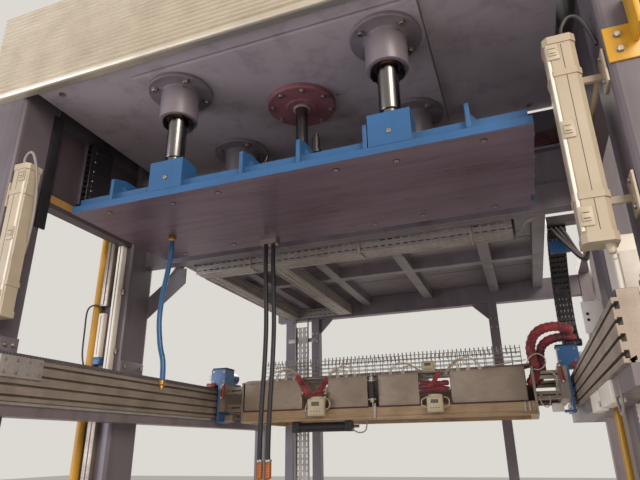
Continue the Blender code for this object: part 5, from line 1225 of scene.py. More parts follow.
sleeve("sleeve_vee_left", [(-0.482, 1.088, 1.952), (-0.452, 1.078, 1.915), (-0.418, 1.062, 1.872),
                           (-0.388, 1.054, 1.84), (-0.36, 1.052, 1.826)], 0.019, RED_SLEEVE)
sleeve("sleeve_vee_right", [(-0.286, 1.09, 1.932), (-0.306, 1.074, 1.897), (-0.33, 1.062, 1.862),
                            (-0.352, 1.056, 1.838), (-0.366, 1.052, 1.824)], 0.018, RED_SLEEVE)
sleeve("sleeve_knot", [(-0.42, 1.06, 1.848), (-0.38, 1.048, 1.836), (-0.335, 1.047, 1.834),
                       (-0.298, 1.06, 1.842)], 0.017, DEEP_SLEEVE, folds=5)
sleeve("sleeve_bay_upper", [(0.252, 1.084, 1.878), (0.3, 1.07, 1.868), (0.35, 1.068, 1.866),
                            (0.412, 1.084, 1.872)], 0.015, DEEP_SLEEVE, folds=6)
sleeve("sleeve_bay_lower", [(0.252, 1.084, 1.838), (0.3, 1.066, 1.836), (0.352, 1.064, 1.84),
                            (0.412, 1.084, 1.836)], 0.016, DEEP_SLEEVE, folds=6)
sleeve("sleeve_bay_rise", [(0.3, 1.06, 1.85), (0.33, 1.056, 1.872), (0.35, 1.06, 1.902),
                           (0.372, 1.076, 1.928)], 0.013, RED_SLEEVE, folds=5)
sleeve("sleeve_outer", [(0.812, 1.128, 1.838), (0.842, 1.122, 1.88), (0.856, 1.115, 1.93),
                        (0.848, 1.112, 1.985), (0.845, 1.112, 2.03), (0.862, 1.112, 2.08),
                        (0.9, 1.112, 2.116), (0.955, 1.114, 2.132), (1.012, 1.12, 2.128),
                        (1.068, 1.13, 2.104)], 0.026, RED_SLEEVE, folds=19, count=90)
sleeve("sleeve_inner", [(0.822, 1.172, 1.838), (0.868, 1.168, 1.88), (0.888, 1.158, 1.93),
                        (0.886, 1.15, 1.985), (0.897, 1.146, 2.03), (0.93, 1.146, 2.062),
                        (0.978, 1.148, 2.078), (1.03, 1.152, 2.078), (1.08, 1.156, 2.066)],
       0.024, DEEP_SLEEVE, folds=17, count=84)
rods("sleeve_ferrules", [((0.252, 1.083, 1.838), (0.268, 1.076, 1.837)),
                         ((0.398, 1.078, 1.837), (0.412, 1.083, 1.836)),
                         ((-0.3, 1.058, 1.842), (-0.288, 1.062, 1.846)),
                         ((-0.424, 1.062, 1.85), (-0.436, 1.066, 1.852)),
                         ((0.252, 1.083, 1.878), (0.266, 1.078, 1.874))],
     0.0125, ZINC, CARRIAGE)
print("sleeves made")

# %% [markdown]
# Each zone has a small temperature controller in a beige case: a lid with a rounded rim, a display
# window, four buttons below it and a round terminal head behind. No words are drawn on it.

# %% Controllers
def controller(name, x, z, width, height, front_y, head_z):
    """A case with its lid, display, buttons and terminal head."""
    half = width / 2
    boxes(name + "_case", [((x - half, front_y, z), (x + half, front_y + 0.034, z + height))],
          GAUGE_PLASTIC, CARRIAGE, 6.0, segments=4)
    boxes(name + "_lid", [((x - half + 0.006, front_y - 0.004, z + 0.006),
                           (x + half - 0.006, front_y + 0.002, z + height - 0.006))],
          GAUGE_PLASTIC, CARRIAGE, 2.5, segments=3)
    boxes(name + "_display", [((x - half * 0.48, front_y - 0.0052, z + height * 0.56),
                               (x + half * 0.48, front_y - 0.003, z + height * 0.8))],
          DISPLAY_GLASS, CARRIAGE, 0.8)
    spots = [((x + half * 0.24 * k, front_y - 0.0038, z + height * 0.26), FRONT)
             for k in (-2.1, -0.7, 0.7, 2.1)]
    fittings(name + "_buttons", [(0.0, 0.0), (0.0028, 0.0), (0.0028, 0.0012), (0.0016, 0.002),
                                 (0.0, 0.002)], spots, RED_CABLE, CARRIAGE, steps=16)
    lathe(name + "_head", [(0, head_z + 0.026), (half * 0.8, head_z + 0.026),
                           (half * 0.92, head_z + 0.022), (half * 0.95, head_z + 0.006),
                           (half * 0.9, head_z), (0, head_z)],
          (x, front_y + 0.046, 0), GAUGE_PLASTIC, CARRIAGE, steps=48)


controller("controller_left", -0.34, 1.719, 0.1, 0.096, 1.022, 1.8)
controller("controller_right", 0.333, 1.719, 0.084, 0.08, 1.026, 1.786)
controller("controller_upper", 0.3, 1.934, 0.072, 0.062, 1.1, 1.93)
cables = [[(-0.392, 1.06, 1.76), (-0.412, 1.052, 1.748), (-0.408, 1.05, 1.775), (-0.394, 1.06, 1.812)],
          [(-0.288, 1.052, 1.752), (-0.264, 1.05, 1.77), (-0.268, 1.054, 1.8), (-0.286, 1.064, 1.815)],
          [(0.291, 1.058, 1.742), (0.262, 1.052, 1.756), (0.262, 1.06, 1.785), (0.288, 1.068, 1.8)],
          [(0.376, 1.056, 1.742), (0.402, 1.052, 1.752), (0.404, 1.058, 1.782), (0.38, 1.07, 1.798)]]
tubes("controller_wires", cables, 0.0035, CREAM_WIRE, CARRIAGE, sides=12, count=22)
loops = [[(0.815, 1.082, 1.946), (0.838, 1.066, 1.978), (0.874, 1.06, 1.99), (0.905, 1.06, 1.968),
          (0.905, 1.062, 1.936), (0.878, 1.066, 1.912), (0.846, 1.07, 1.914)],
         [(0.905, 1.07, 1.905), (0.935, 1.072, 1.89), (0.952, 1.076, 1.855), (0.94, 1.086, 1.822)],
         [(0.852, 1.088, 1.78), (0.862, 1.074, 1.742), (0.884, 1.07, 1.726), (0.9, 1.074, 1.748),
          (0.902, 1.086, 1.78)],
         [(0.6, CAR_FRONT + 0.02, 1.948), (0.69, CAR_FRONT + 0.01, 1.951),
          (0.77, CAR_FRONT + 0.002, 1.96), (0.815, 1.078, 1.966)]]
tubes("carriage_loose_wires", loops, 0.0026, CREAM_WIRE, CARRIAGE, sides=10, count=40)
print("controllers and wires made")

# %% [markdown]
# A thermal switch stands between the second and third box, and an air cylinder hangs under the pan.
# The end frames are slotted profile: a thin dark strip along each arm is painted shade for its groove, and
# two screws sit at its ends.

# %% Switch, air cylinder and end frames
rods("thermal_switch_body", [((-0.014, 1.06, 1.808), (-0.014, 1.06, 1.892))], 0.0175, BLACK_NYLON,
     CARRIAGE, sides=40)
rods("thermal_switch_ends", [((-0.014, 1.06, 1.782), (-0.014, 1.06, 1.807)),
                             ((-0.014, 1.06, 1.893), (-0.014, 1.06, 1.922))], 0.0145, ZINC,
     CARRIAGE, sides=32)
boxes("thermal_switch_clips", [((-0.036, 1.052, 1.796), (0.008, 1.08, 1.802)),
                               ((-0.036, 1.052, 1.898), (0.008, 1.08, 1.904)),
                               ((-0.017, 1.062, 1.76), (-0.011, 1.074, 1.784)),
                               ((-0.018, 1.056, 1.922), (-0.01, 1.072, 1.946))],
      ZINC, CARRIAGE, 1.0)
rods("air_cylinder_body", [((-0.5, 1.115, 1.662), (-0.18, 1.115, 1.662))], 0.026, BLACK_NYLON,
     CARRIAGE, sides=48, chamfer=0.25)
boxes("air_cylinder_heads", [((-0.512, 1.086, 1.633), (-0.47, 1.144, 1.6935)),
                             ((-0.19, 1.086, 1.636), (-0.15, 1.144, 1.6935))],
      BLACK_NYLON, CARRIAGE, 4.0, segments=3)
rods("air_cylinder_rod", [((-0.152, 1.115, 1.662), (-0.112, 1.115, 1.662))], 0.008, CHROME, CARRIAGE)
tubes("air_cylinder_pipe", [[(-0.15, 1.098, 1.648), (-0.11, 1.09, 1.628), (-0.072, 1.086, 1.634),
                             (-0.06, 1.086, 1.66), (-0.058, 1.086, 1.694)]], 0.0035, GREY_CABLE,
      CARRIAGE, sides=12)


def on_side(sx, low, high):
    """The corners of a box on the right side, or of its mirror image on the left."""
    left, right = sorted((sx * low[0], sx * high[0]))
    return (left, *low[1:]), (right, *high[1:])


# Each groove is a thin dark strip: painted shade.
groove_shade_strips = [on_side(sx, (0.846, arm_y - 0.0006, height - 0.004), (0.958, arm_y + 0.0006, height + 0.004))
           for sx in (-1, 1) for arm_y in (CAR_FRONT + 0.04, CAR_FRONT + 0.54)
           for height in (1.788, 1.89)]
boxes("arm_grooves", groove_shade_strips, TORN_RUBBER_AND_SHADE, CARRIAGE, 0.3, segments=1)
arm_screws = [((sx * x, CAR_FRONT + 0.039, height), FRONT) for sx in (-1, 1)
              for x in (0.862, 0.94) for height in (1.788, 1.89)]
fittings("arm_screws", socket_head(0.007, 0.005), arm_screws, ZINC, CARRIAGE, seed=9)
print("end frames finished with", len(groove_shade_strips), "groove_shade_strips")

# %% [markdown]
# The drive units are painted castings with black covers, plugs and red guard links. The link is a
# short bar with rounded ends and a screw at each end. Under the blue bracket sit limit switches.

# %% Drive unit details
for sx, side in ((-1, "left"), (1, "right")):
    for part, low, high, material, round_mm, segments in (
        ("drive_cover", (0.964, 1.088, 2.024), (1.066, 1.19, 2.0335), BLACK_NYLON, 3.0, 3),
        ("drive_plug", (1.072, 1.098, 1.962), (1.098, 1.15, 1.992), WHITE_POWDER, 3.0, 2),
        ("drive_brake", (1.03, 1.062, 1.914), (1.09, 1.0745, 1.938), OXIDE_RED, 2.0, 2),
        ("drive_bracket_foot", (0.962, 1.078, 1.7), (1.016, 1.16, 1.712), DRIVE_ENAMEL, 2.5, 2),
    ):
        boxes(f"{part}_{side}", [on_side(sx, low, high)], material, CARRIAGE, round_mm, segments)
    boxes(f"limit_switch_{side}", [on_side(sx, (0.905, 1.08, 1.704), (0.96, 1.112, 1.744))],
          PROFILE_ALUMINIUM if sx < 0 else WHITE_POWDER, CARRIAGE, 3.0)
    link_x = sx * 0.972
    rods(f"guard_link_{side}", [((link_x - sx * 0.004, 1.068, 1.93), (link_x + sx * 0.004, 1.068, 1.84))],
         0.0105, OXIDE_RED, CARRIAGE, sides=20, chamfer=0.6)
    fittings(f"guard_link_screws_{side}", socket_head(0.006, 0.004),
             [((link_x - sx * 0.004, 1.0572, 1.925), FRONT), ((link_x + sx * 0.004, 1.0572, 1.846), FRONT)],
             WHITE_POWDER, CARRIAGE, seed=3)
    spots = [((sx * x, 1.0848, z), FRONT) for x in (0.978, 1.052) for z in (1.95, 2.008)]
    fittings(f"drive_screws_{side}", socket_head(0.006, 0.004), spots, ZINC, CARRIAGE, seed=12)
print("drive details made")

# %% [markdown]
# The cable tray is folded from perforated sheet: two rows of short slots in each wall and three in
# the bottom. One tile holds one slot, and the tree sets tiles side by side. A second branch and
# a drop down the rear post are hung from the same joists.

# %% Perforated tray
SHEET_THICKNESS = 0.0016


def slot_tile(width, height, slot_width, slot_height):
    """A flat tile with a slot whose corners are cut off, as a closed solid round the origin."""
    w, h, a, b = width / 2, height / 2, slot_width / 2, slot_height / 2
    c, q = a - min(a, b) * 0.5, b - min(a, b) * 0.5
    inner = [(a, -q), (a, q), (c, b), (-c, b), (-a, q), (-a, -q), (-c, -b), (c, -b)]
    outer = [(w, -q), (w, q), (c, h), (-c, h), (-w, q), (-w, -q), (-c, -h), (c, -h)]
    corners = {1: (w, h), 3: (-w, h), 5: (-w, -h), 7: (w, -h)}
    bm = bmesh.new()
    ins = [bm.verts.new((x, y, -SHEET_THICKNESS / 2)) for x, y in inner]
    outs = [bm.verts.new((x, y, -SHEET_THICKNESS / 2)) for x, y in outer]
    faces = []
    for k in range(8):
        n = (k + 1) % 8
        loop = [ins[k], outs[k]]
        if k in corners:
            loop.append(bm.verts.new((*corners[k], -SHEET_THICKNESS / 2)))
        faces.append(bm.faces.new(loop + [outs[n], ins[n]]))
    grown = bmesh.ops.extrude_face_region(bm, geom=faces)["geom"]
    bmesh.ops.translate(bm, vec=(0, 0, SHEET_THICKNESS),
                        verts=[g for g in grown if isinstance(g, bmesh.types.BMVert)])
    bmesh.ops.recalc_face_normals(bm, faces=bm.faces)
    return object_of("tile", bm)


def tiled(name, sets, material, body):
    """Tiles on several fields. A field is a prototype, a corner, two steps with counts and a facing."""
    merged = []
    for tile, corner, (step_a, count_a), (step_b, count_b), way in sets:
        spots = [(tuple(Vector(corner) + Vector(step_a) * (i + 0.5) + Vector(step_b) * (j + 0.5)), way)
                 for i in range(count_a) for j in range(count_b)]
        merged.append(grow(facing_points(name, spots), TILE_TREE, fitting=tile, material=material))
    bm = bmesh.new()
    for obj in merged:
        bm.from_mesh(obj.data)
        bpy.data.objects.remove(obj)
    for face in bm.faces:
        face.material_index = 0
    return keep(object_of(name, bm, 30), material, body)


TILE_TREE, given = new_tree("tiles on points", ("Fitting", "NodeSocketObject", None),
                            ("Material", MATTER, None))
shape = add_node(TILE_TREE, "GeometryNodeObjectInfo", {"Object": given["Fitting"], "As Instance": True})
placed = add_node(TILE_TREE, "GeometryNodeInstanceOnPoints", {"Points": given["Geometry"],
                  "Instance": shape.outputs["Geometry"], "Rotation": looking(TILE_TREE)})
end_tree(TILE_TREE, placed.outputs[0], given["Material"])

TRAY_X, TRAY_Y, TRAY_Z, TRAY_DEEP = (-0.86, 0.85), (0.52, 0.62), 2.4737, 0.0656
COLS, ROW, WALL = 45, TRAY_DEEP / 2, 0.0008
PITCH = (TRAY_X[1] - TRAY_X[0]) / COLS
BACK_ROWS = 30
LENGTHWAYS = (1.79 - TRAY_Y[1]) / BACK_ROWS
along_x, up_z, along_y, across = (PITCH, 0, 0), (0, 0, ROW), (0, LENGTHWAYS, 0), (0.1 / 3, 0, 0)
wide = slot_tile(PITCH, ROW, 0.026, 0.007)
floor_tile = slot_tile(PITCH, 0.1 / 3, 0.024, 0.006)
side_tile = slot_tile(ROW, LENGTHWAYS, 0.007, 0.026)
branch_tile = slot_tile(0.1 / 3, LENGTHWAYS, 0.006, 0.026)
drop_tile = slot_tile(0.1 / 3, LENGTHWAYS, 0.007, 0.026)
fields = [
    (wide, (TRAY_X[0], TRAY_Y[0] + WALL, TRAY_Z), (along_x, COLS), (up_z, 2), FRONT),
    (wide, (TRAY_X[0] + PITCH * 3, TRAY_Y[1] - WALL, TRAY_Z), (along_x, COLS - 3), (up_z, 2), FRONT),
    (floor_tile, (TRAY_X[0], TRAY_Y[0], TRAY_Z + WALL), (along_x, COLS), ((0, 0.1 / 3, 0), 3), DOWN)]
for left in (TRAY_X[0], -0.44):
    for x in (left + WALL, left + 0.1 - WALL):
        fields.append((side_tile, (x, TRAY_Y[1], TRAY_Z), (along_y, BACK_ROWS), (up_z, 2), LEFT))
    fields.append((branch_tile, (left, TRAY_Y[1], TRAY_Z + WALL), (across, 3), (along_y, BACK_ROWS), DOWN))
fields.append((drop_tile, (-0.805, 1.8375, 0.7), (across, 3), ((0, 0, LENGTHWAYS), 44), FRONT))
fields.append((wide, (TRAY_X[0] + 0.1, 1.79 - 0.001, TRAY_Z), (along_x, 8), (up_z, 2), FRONT))
tray = tiled("cable_tray_perforated", fields, GALVANISED, FRAME)
for tile in (wide, floor_tile, side_tile, branch_tile, drop_tile):
    bpy.data.objects.remove(tile)
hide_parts("cable_tray")
lips = [((TRAY_X[0], y - 0.003, TRAY_Z - 0.003), (TRAY_X[1], y + 0.003, TRAY_Z + 0.0035)) for y in TRAY_Y]
lips += [((left + dx - 0.003, TRAY_Y[1], TRAY_Z - 0.003), (left + dx + 0.003, 1.79, TRAY_Z + 0.0035))
         for left in (TRAY_X[0], -0.44) for dx in (0.003, 0.097)]
lips += [((x - 0.003, 1.822, 0.7), (x + 0.003, 1.8398, TRAY_Z)) for x in (-0.805, -0.705)]
boxes("cable_tray_lips", lips, GALVANISED, FRAME, 1.2)
for strap, where, half, material in (("hangers", (-0.52, 0.1, 0.652), 0.005, GALVANISED),
                                     ("end", (0.845,), 0.006, BLACK_NYLON)):
    straps = []
    for x in where:
        straps += [((x - half, TRAY_Y[0] - 0.005, TRAY_Z - 0.006), (x + half, TRAY_Y[0] - 0.002, 2.56)),
                   ((x - half, TRAY_Y[0] - 0.005, TRAY_Z - 0.007),
                    (x + half, TRAY_Y[1] + 0.004, TRAY_Z - 0.0035))]
    boxes(f"cable_tray_{strap}", straps, material, FRAME, 0.8)
tray_wires = [[(x0, TRAY_Y[0] + 0.02 + 0.012 * k, TRAY_Z + 0.008),
               (0.2, TRAY_Y[0] + 0.03 + 0.01 * k, TRAY_Z + 0.007),
               (0.83, TRAY_Y[0] + 0.02 + 0.012 * k, TRAY_Z + 0.012),
               (0.885, 0.53 + 0.008 * k, 2.5 + 0.004 * k), (0.945, 0.512, 2.552 - 0.01 * k),
               (0.98 + 0.012 * k, 0.506, 2.612)]
              for k, x0 in enumerate((-0.75, -0.4, -0.3, -0.1))]
tubes("tray_wires", tray_wires, 0.0032, GREY_CABLE, FRAME, sides=12, count=40)
boxes("tray_drop_bars", [((-0.87, 1.8385, z), (-0.64, 1.8415, z + 0.03))
                         for z in (0.76, 1.3, 1.84, 2.3)], GALVANISED, FRAME, 0.8)
print("tray tiles set:", sum(a[1] * b[1] for _, _, a, b, _ in fields))

# %% [markdown]
# The basket is welded wire: U-shaped cross wires every 50 mm, and lengthways wires laid on them every
# 25 mm. The upper ends stand proud as a comb that holds the cables apart.

# %% Wire basket
low, high = (Vector(v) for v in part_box("mesh_basket"))
cross = [[(x, low.y + 0.002, high.z - 0.002), (x, low.y + 0.002, low.z + 0.003),
          (x, high.y - 0.002, low.z + 0.003), (x, high.y - 0.002, high.z - 0.002)]
         for x in np.linspace(low.x + 0.003, high.x - 0.003, 33)]
levels = [low.z + 0.006 + 0.025 * k for k in range(6)]
along = [[(low.x, y, z), (high.x, y, z)] for z in levels for y in (low.y + 0.002, high.y - 0.002)]
along += [[(low.x, y, low.z + 0.0055), (high.x, y, low.z + 0.0055)]
          for y in (low.y + 0.035, low.y + 0.07, low.y + 0.105)]
tubes("mesh_basket_wires", cross + along, 0.0019, GALVANISED, CARRIAGE, sides=8,
      stands_for=("mesh_basket",), smooth=False)
comb = [((x - 0.0032, y - 0.0015, high.z - 0.034), (x + 0.0032, y + 0.0015, high.z - 0.0005))
        for x in np.linspace(low.x + 0.028, high.x - 0.028, 63) for y in (low.y + 0.004, high.y - 0.004)]
boxes("mesh_basket_comb", comb, GALVANISED, CARRIAGE, 0.8, segments=1)
carried = [[(-0.78, y, low.z + 0.014 + 0.01 * k), (-0.3, y + 0.012, low.z + 0.016 + 0.012 * k),
            (0.3, y - 0.01, low.z + 0.015 + 0.011 * k), (0.79, y + 0.006, low.z + 0.02 + 0.01 * k),
            (0.872, y - 0.05, 2.0), (0.9, 1.19, 1.985)]
           for k, y in enumerate((1.315, 1.34, 1.365, 1.388))]
tubes("basket_cables", carried, 0.006, GREY_CABLE, CARRIAGE, sides=12, count=44)
print("basket wires:", len(cross) + len(along))

# %% [markdown]
# An energy chain carries the cables to the moving carriage. Each link is two side plates joined by
# two crossbars. One link is built, and the tree sets it along the chain's own line. The chain bends
# as the carriage runs, so its links and cables are kept on no body, where they stand.

# %% Energy chain
def link_shape(width, height, pitch):
    """Two side plates with their overlaps and two crossbars, as a prototype for a chain."""
    bm = bmesh.new()
    parts = [((sx * (width / 2 - 0.0035), 0, 0), (0.007, height, pitch * 1.12)) for sx in (-1, 1)]
    parts += [((sx * (width / 2 - 0.0005), 0, pitch * 0.3), (0.0032, height * 0.66, pitch * 0.5))
              for sx in (-1, 1)]
    parts += [((0, sy * (height / 2 - 0.0025), 0), (width - 0.008, 0.005, pitch * 0.6)) for sy in (-1, 1)]
    for centre, size in parts:
        made = bmesh.ops.create_cube(bm, size=1.0)["verts"]
        bmesh.ops.scale(bm, vec=size, verts=made)
        bmesh.ops.translate(bm, vec=centre, verts=made)
    bmesh.ops.bevel(bm, geom=bm.edges[:], offset=0.0012, segments=1, affect="EDGES", clamp_overlap=True)
    return object_of("link", bm)


def chain(name, points, count, link, material, body):
    """Links set along a route, each turned to the way the route goes."""
    line = smooth_route(points, count * 4 + 1)
    spots = [(tuple(line[4 * k + 2]), tuple((line[4 * k + 4] - line[4 * k]).normalized()))
             for k in range(count)]
    obj = grow(facing_points(name, spots), TILE_TREE, fitting=link, material=material)
    bpy.data.objects.remove(link)
    shade(obj.data, 30)
    return keep(obj, material, body)


CHAIN_START, CHAIN_END = Vector((1.055, 0.87, 2.5867)), Vector((1.055, 1.125, 2.0446))
CHAIN_BULGE = Vector((0, 0.33, 0))
CHAIN_LINKS = 26
knots = []
for t in np.linspace(0, 1, 17):
    s = 1 - t
    knots.append(CHAIN_START * s ** 3 + (CHAIN_START + CHAIN_BULGE) * 3 * s * s * t
                 + (CHAIN_END + CHAIN_BULGE) * 3 * s * t * t + CHAIN_END * t ** 3)
links = chain("energy_chain_links", knots, CHAIN_LINKS, link_shape(0.088, 0.035, 0.03), BLACK_NYLON,
              FRAME)
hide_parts("energy_chain")
lanes = [[p + Vector((dx, 0, 0)) for p in knots] for dx in (-0.027, -0.009, 0.009, 0.027)]
cables = tubes("energy_chain_cables", lanes, 0.0085, DARK_CABLE, FRAME, sides=12, count=48)
for piece in (links, cables):
    piece.parent = None
    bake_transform(piece)
print("energy chain links:", CHAIN_LINKS)

# %% [markdown]
# Batten lamps are clipped together from a housing and a lens, so a dark joint runs down the side.
# Each has latches, a cable gland below and a loop of cable above. The straps are bolted to plates.

# %% Lamp details
LAMP_PLATE_X = 1.1345
LATCH_HEIGHTS = (0.07, 0.335, 0.6)
LAMP_CABLES = {
    "right": ((0.058, 0.034, -0.002), (0.06, 0.034, 0.045), (0.084, 0.034, 0.084),
              (0.112, 0.036, 0.078), (0.132, 0.04, 0.035), (0.1475, 0.042, -0.03)),
    "left": ((0.062, 0.034, -0.002), (0.066, 0.032, 0.05), (0.034, 0.03, 0.074), (0.006, 0.034, 0.03),
             (-0.012, 0.048, -0.08), (-0.019, 0.055, -0.2), (-0.01, 0.062, -0.31),
             (0.03, 0.086, -0.38), (0.0965, 0.092, -0.4)),
}
for sx, side, front, bottom in ((1, "right", -0.5, 2.035), (-1, "left", -0.505, 2.04)):
    low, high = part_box(f"lamp_{side}")
    inner = low[0] + 0.003 if sx > 0 else high[0] - 0.003

    def at(distance):
        return inner + sx * distance

    def span(first, last):
        return sorted((at(first), at(last)))

    latch = {"base": (0.002, 0.036, 0.0, 0.0045, 0.055), "lever": (0.007, 0.03, 0.004, 0.0085, 0.03)}
    for part, (first, last, back, out, tall) in latch.items():
        x0, x1 = span(first, last)
        boxes(f"lamp_latch_{part}_{side}", [((x0, front - out, bottom + z - tall / 2),
                                             (x1, front - back + 0.0005, bottom + z + tall / 2))
                                            for z in LATCH_HEIGHTS],
              CLIP_PLASTIC, FRAME, 1.5)
    x0, x1 = span(0.01, 0.027)
    slits = [((x0, front - 0.0088, bottom + z + dz - 0.0012),
              (x1, front - 0.0082, bottom + z + dz + 0.0012))
             for z in LATCH_HEIGHTS for dz in (-0.008, 0.008)]
    x0, x1 = span(0.0445, 0.046)
    slits.append(((x0, front - 0.0006, bottom + 0.03), (x1, front + 0.0004, bottom + 0.625)))
    boxes(f"lamp_joint_{side}", slits, TORN_RUBBER_AND_SHADE, FRAME, 0.15, segments=1)
    x0, x1 = span(0.0015, 0.0105)
    boxes(f"lamp_lens_edge_{side}",
          [((x0, front + 0.0005, bottom + 0.03), (x1, front + 0.008, bottom + 0.625))],
          WHITE_POWDER, FRAME, 2.0)
    lathe(f"lamp_gland_{side}", [(0, 0.002), (0.0135, 0.002), (0.0135, -0.01), (0.0115, -0.012),
                                 (0.0115, -0.024), (0.0085, -0.028), (0, -0.028)],
          (at(0.066), front + 0.034, bottom), CLIP_PLASTIC, FRAME, steps=32)
    top = bottom + 0.655
    route = [(at(distance), front + y, top + z) for distance, y, z in LAMP_CABLES[side]]
    tubes(f"lamp_cable_{side}", [route], 0.006, GREY_CABLE if sx < 0 else DARK_CABLE, FRAME,
          sides=16, count=48)
    bolts(f"lamp_plate_bolts_{side}", [((sx * LAMP_PLATE_X, front + 0.034, bottom + z + dz), (-sx, 0, 0))
                                       for z in (0.13, 0.525) for dz in (-0.038, 0.038)],
          13, FRAME, seed=14)
print("lamp details made")

# %% [markdown]
# The rails are held to the columns by angle brackets. On the left a plate joins two lengths of rail,
# and a thin conduit runs under it. A bare white plate with two holes stands at the rear right column.

# %% Brackets at the rails
angles, angle_bolts = [], []
for sx in (-1, 1):
    for y0, y1 in ((-0.4, -0.31), (0.31, 0.49)):
        angles += [on_side(sx, (1.135, y0, 1.9115), (1.1406, y1, 1.985)),
                   on_side(sx, (1.09, y0, 1.9102), (1.1406, y1, 1.916))]
        angle_bolts += [((sx * 1.1349, y, 1.955), (-sx, 0, 0)) for y in (y0 + 0.025, y1 - 0.025)]
boxes("rail_angles", angles, GREY_ENAMEL, FRAME, 1.2)
bolts("rail_angle_bolts", angle_bolts, 17, FRAME, seed=15)
boxes("rail_joint_plate", [((-1.0272, -0.475, 1.815), (-1.017, -0.274, 1.895))], GALVANISED, FRAME, 1.5)
fittings("rail_joint_screws", socket_head(0.006, 0.004),
         [((-1.0169, y, z), RIGHT) for y in (-0.455, -0.4, -0.345, -0.29) for z in (1.832, 1.878)],
         ZINC, FRAME, seed=16)
rods("rail_conduit", [((-1.036, -0.478, 1.7225), (-1.036, 1.04, 1.7225))], 0.0075, GALVANISED, FRAME)
RACK_INNER, TOOTH_PITCH = 1.042, 0.0157
racks = []
for sx in (-1, 1):
    racks.append(on_side(sx, (RACK_INNER - 0.001, -0.4799, 1.8995), (RACK_INNER + 0.051, 1.9499, 1.9108)))
    racks += [on_side(sx, (RACK_INNER - 0.004, y, 1.8908),
                      (RACK_INNER + 0.001, y + TOOTH_PITCH * 0.5, 1.9104))
              for y in np.arange(-0.474, 1.94, TOOTH_PITCH)]
boxes("rack_bars", racks, DARK_ENAMEL, FRAME, 0.8, segments=1)
boxes("bare_plate", [((1.06, 0.4952, 1.976), (1.1406, 0.4985, 2.108))], WHITE_POWDER, FRAME, 1.0)
# The two holes are not cut: dark discs on the plate are painted shade for them.
fittings("bare_plate_holes", [(0, 0), (0.0058, 0), (0.0062, 0.0006), (0.0058, 0.0012), (0, 0.0012)],
         [((1.079, 0.4946, z), FRONT) for z in (2.031, 2.056)], TORN_RUBBER_AND_SHADE, FRAME)
print("brackets set:", len(angles) // 2)

# %% [markdown]
# A safety light curtain stands on the rear left column: a white profile with a dark window down its
# middle, on clips. Beside it stand lengths of slotted profile and a slim sensor with a blue plug.
# Higher up a black cable chain hangs at the left, and dark sheets close the sides.

# %% Light curtain and profiles
COLUMN_FACE = 0.3046
boxes("light_curtain", [((-1.211, 0.27, 1.9115), (-1.177, COLUMN_FACE + 0.0003, 2.65))],
      WHITE_POWDER, FRAME, 3.0, segments=3)
boxes("light_curtain_window", [((-1.1965, 0.2692, 1.93), (-1.191, 0.2704, 2.635))], DISPLAY_GLASS, FRAME,
      0.3, segments=1)
boxes("light_curtain_clips", [((-1.23, 0.293, z - 0.014), (-1.158, COLUMN_FACE + 0.0004, z + 0.014))
                              for z in (2.03, 2.345)], ZINC, FRAME, 1.2)
fittings("light_curtain_screws", socket_head(0.005, 0.004),
         [((x, 0.2929, z), FRONT) for x in (-1.222, -1.166) for z in (2.03, 2.345)], ZINC, FRAME,
         seed=17)
boxes("sensor_profile_upper", [((-1.288, 0.274, 2.274), (-1.242, COLUMN_FACE + 0.0003, 2.65))],
      PROFILE_ALUMINIUM, FRAME, 2.0)
# The dark strip in the profile's slot is painted shade.
boxes("sensor_profile_slots", [((-1.269, 0.2733, 2.28), (-1.261, 0.2745, 2.645))], TORN_RUBBER_AND_SHADE, FRAME,
      0.3, segments=1)
boxes("lower_profile", [((-1.262, 0.274, 0.4), (-1.212, COLUMN_FACE + 0.0003, 1.71))],
      PROFILE_ALUMINIUM, FRAME, 2.0)
# The dark strip in the profile's slot is painted shade.
boxes("lower_profile_slot", [((-1.241, 0.2733, 0.41), (-1.233, 0.2745, 1.7))], TORN_RUBBER_AND_SHADE, FRAME,
      0.3, segments=1)
boxes("slim_sensor", [((-1.288, 0.276, 2.003), (-1.254, COLUMN_FACE + 0.0003, 2.236))],
      WHITE_POWDER, FRAME, 3.0, segments=3)
boxes("slim_sensor_window", [((-1.2735, 0.2753, 2.015), (-1.2685, 0.2765, 2.224))], DISPLAY_GLASS, FRAME,
      0.3, segments=1)
boxes("sensor_plug", [((-1.288, 0.272, 1.966), (-1.242, COLUMN_FACE + 0.0003, 2.0035))],
      BLUE_ENAMEL, FRAME, 3.0)
tubes("sensor_cable", [[(-1.271, 0.286, 2.235), (-1.274, 0.272, 2.262), (-1.3, 0.25, 2.276),
                        (-1.34, 0.246, 2.25), (-1.35, 0.256, 2.14), (-1.346, 0.262, 2.01),
                        (-1.3, 0.252, 1.94), (-1.268, 0.276, 1.967)]],
      0.0045, DARK_CABLE, FRAME, sides=12, count=40)
riser = [(-1.17 + 0.0205, -0.018, 2.69 + 0.06 * k) for k in range(7)]
chain("side_chain", riser, 12, link_shape(0.04, 0.15, 0.03), BLACK_NYLON, FRAME)
fittings("side_chain_rivets", [(0, 0), (0.0085, 0), (0.0085, 0.002), (0.006, 0.0045), (0, 0.0052)],
         [((-1.1291, -0.062, 2.722 + 0.055 * k), RIGHT) for k in range(6)], CHROME, FRAME)
boxes("side_chain_guides", [((-1.1702, y, 2.69), (-1.15, y + 0.01, 3.038)) for y in (-0.112, 0.07)],
      DARK_ENAMEL, FRAME, 1.0)
boxes("upper_side_sheets", [((x0, -0.3046, 3.0405), (x0 + 0.01, 0.3046, 3.5)) for x0 in (-1.18, 1.17)],
      DARK_ENAMEL, FRAME, 1.0)
print("left column furniture made")

# %% [markdown]
# The control cabinet carries a blank plate, a quarter-turn lock and a rain edge. Below the right
# rail sit sensor blocks, a yellow guard tube and a pale corrugated conduit. A yellow bracket holds
# the end of a guard on the front column, and dark seams show where the roof sheets meet.

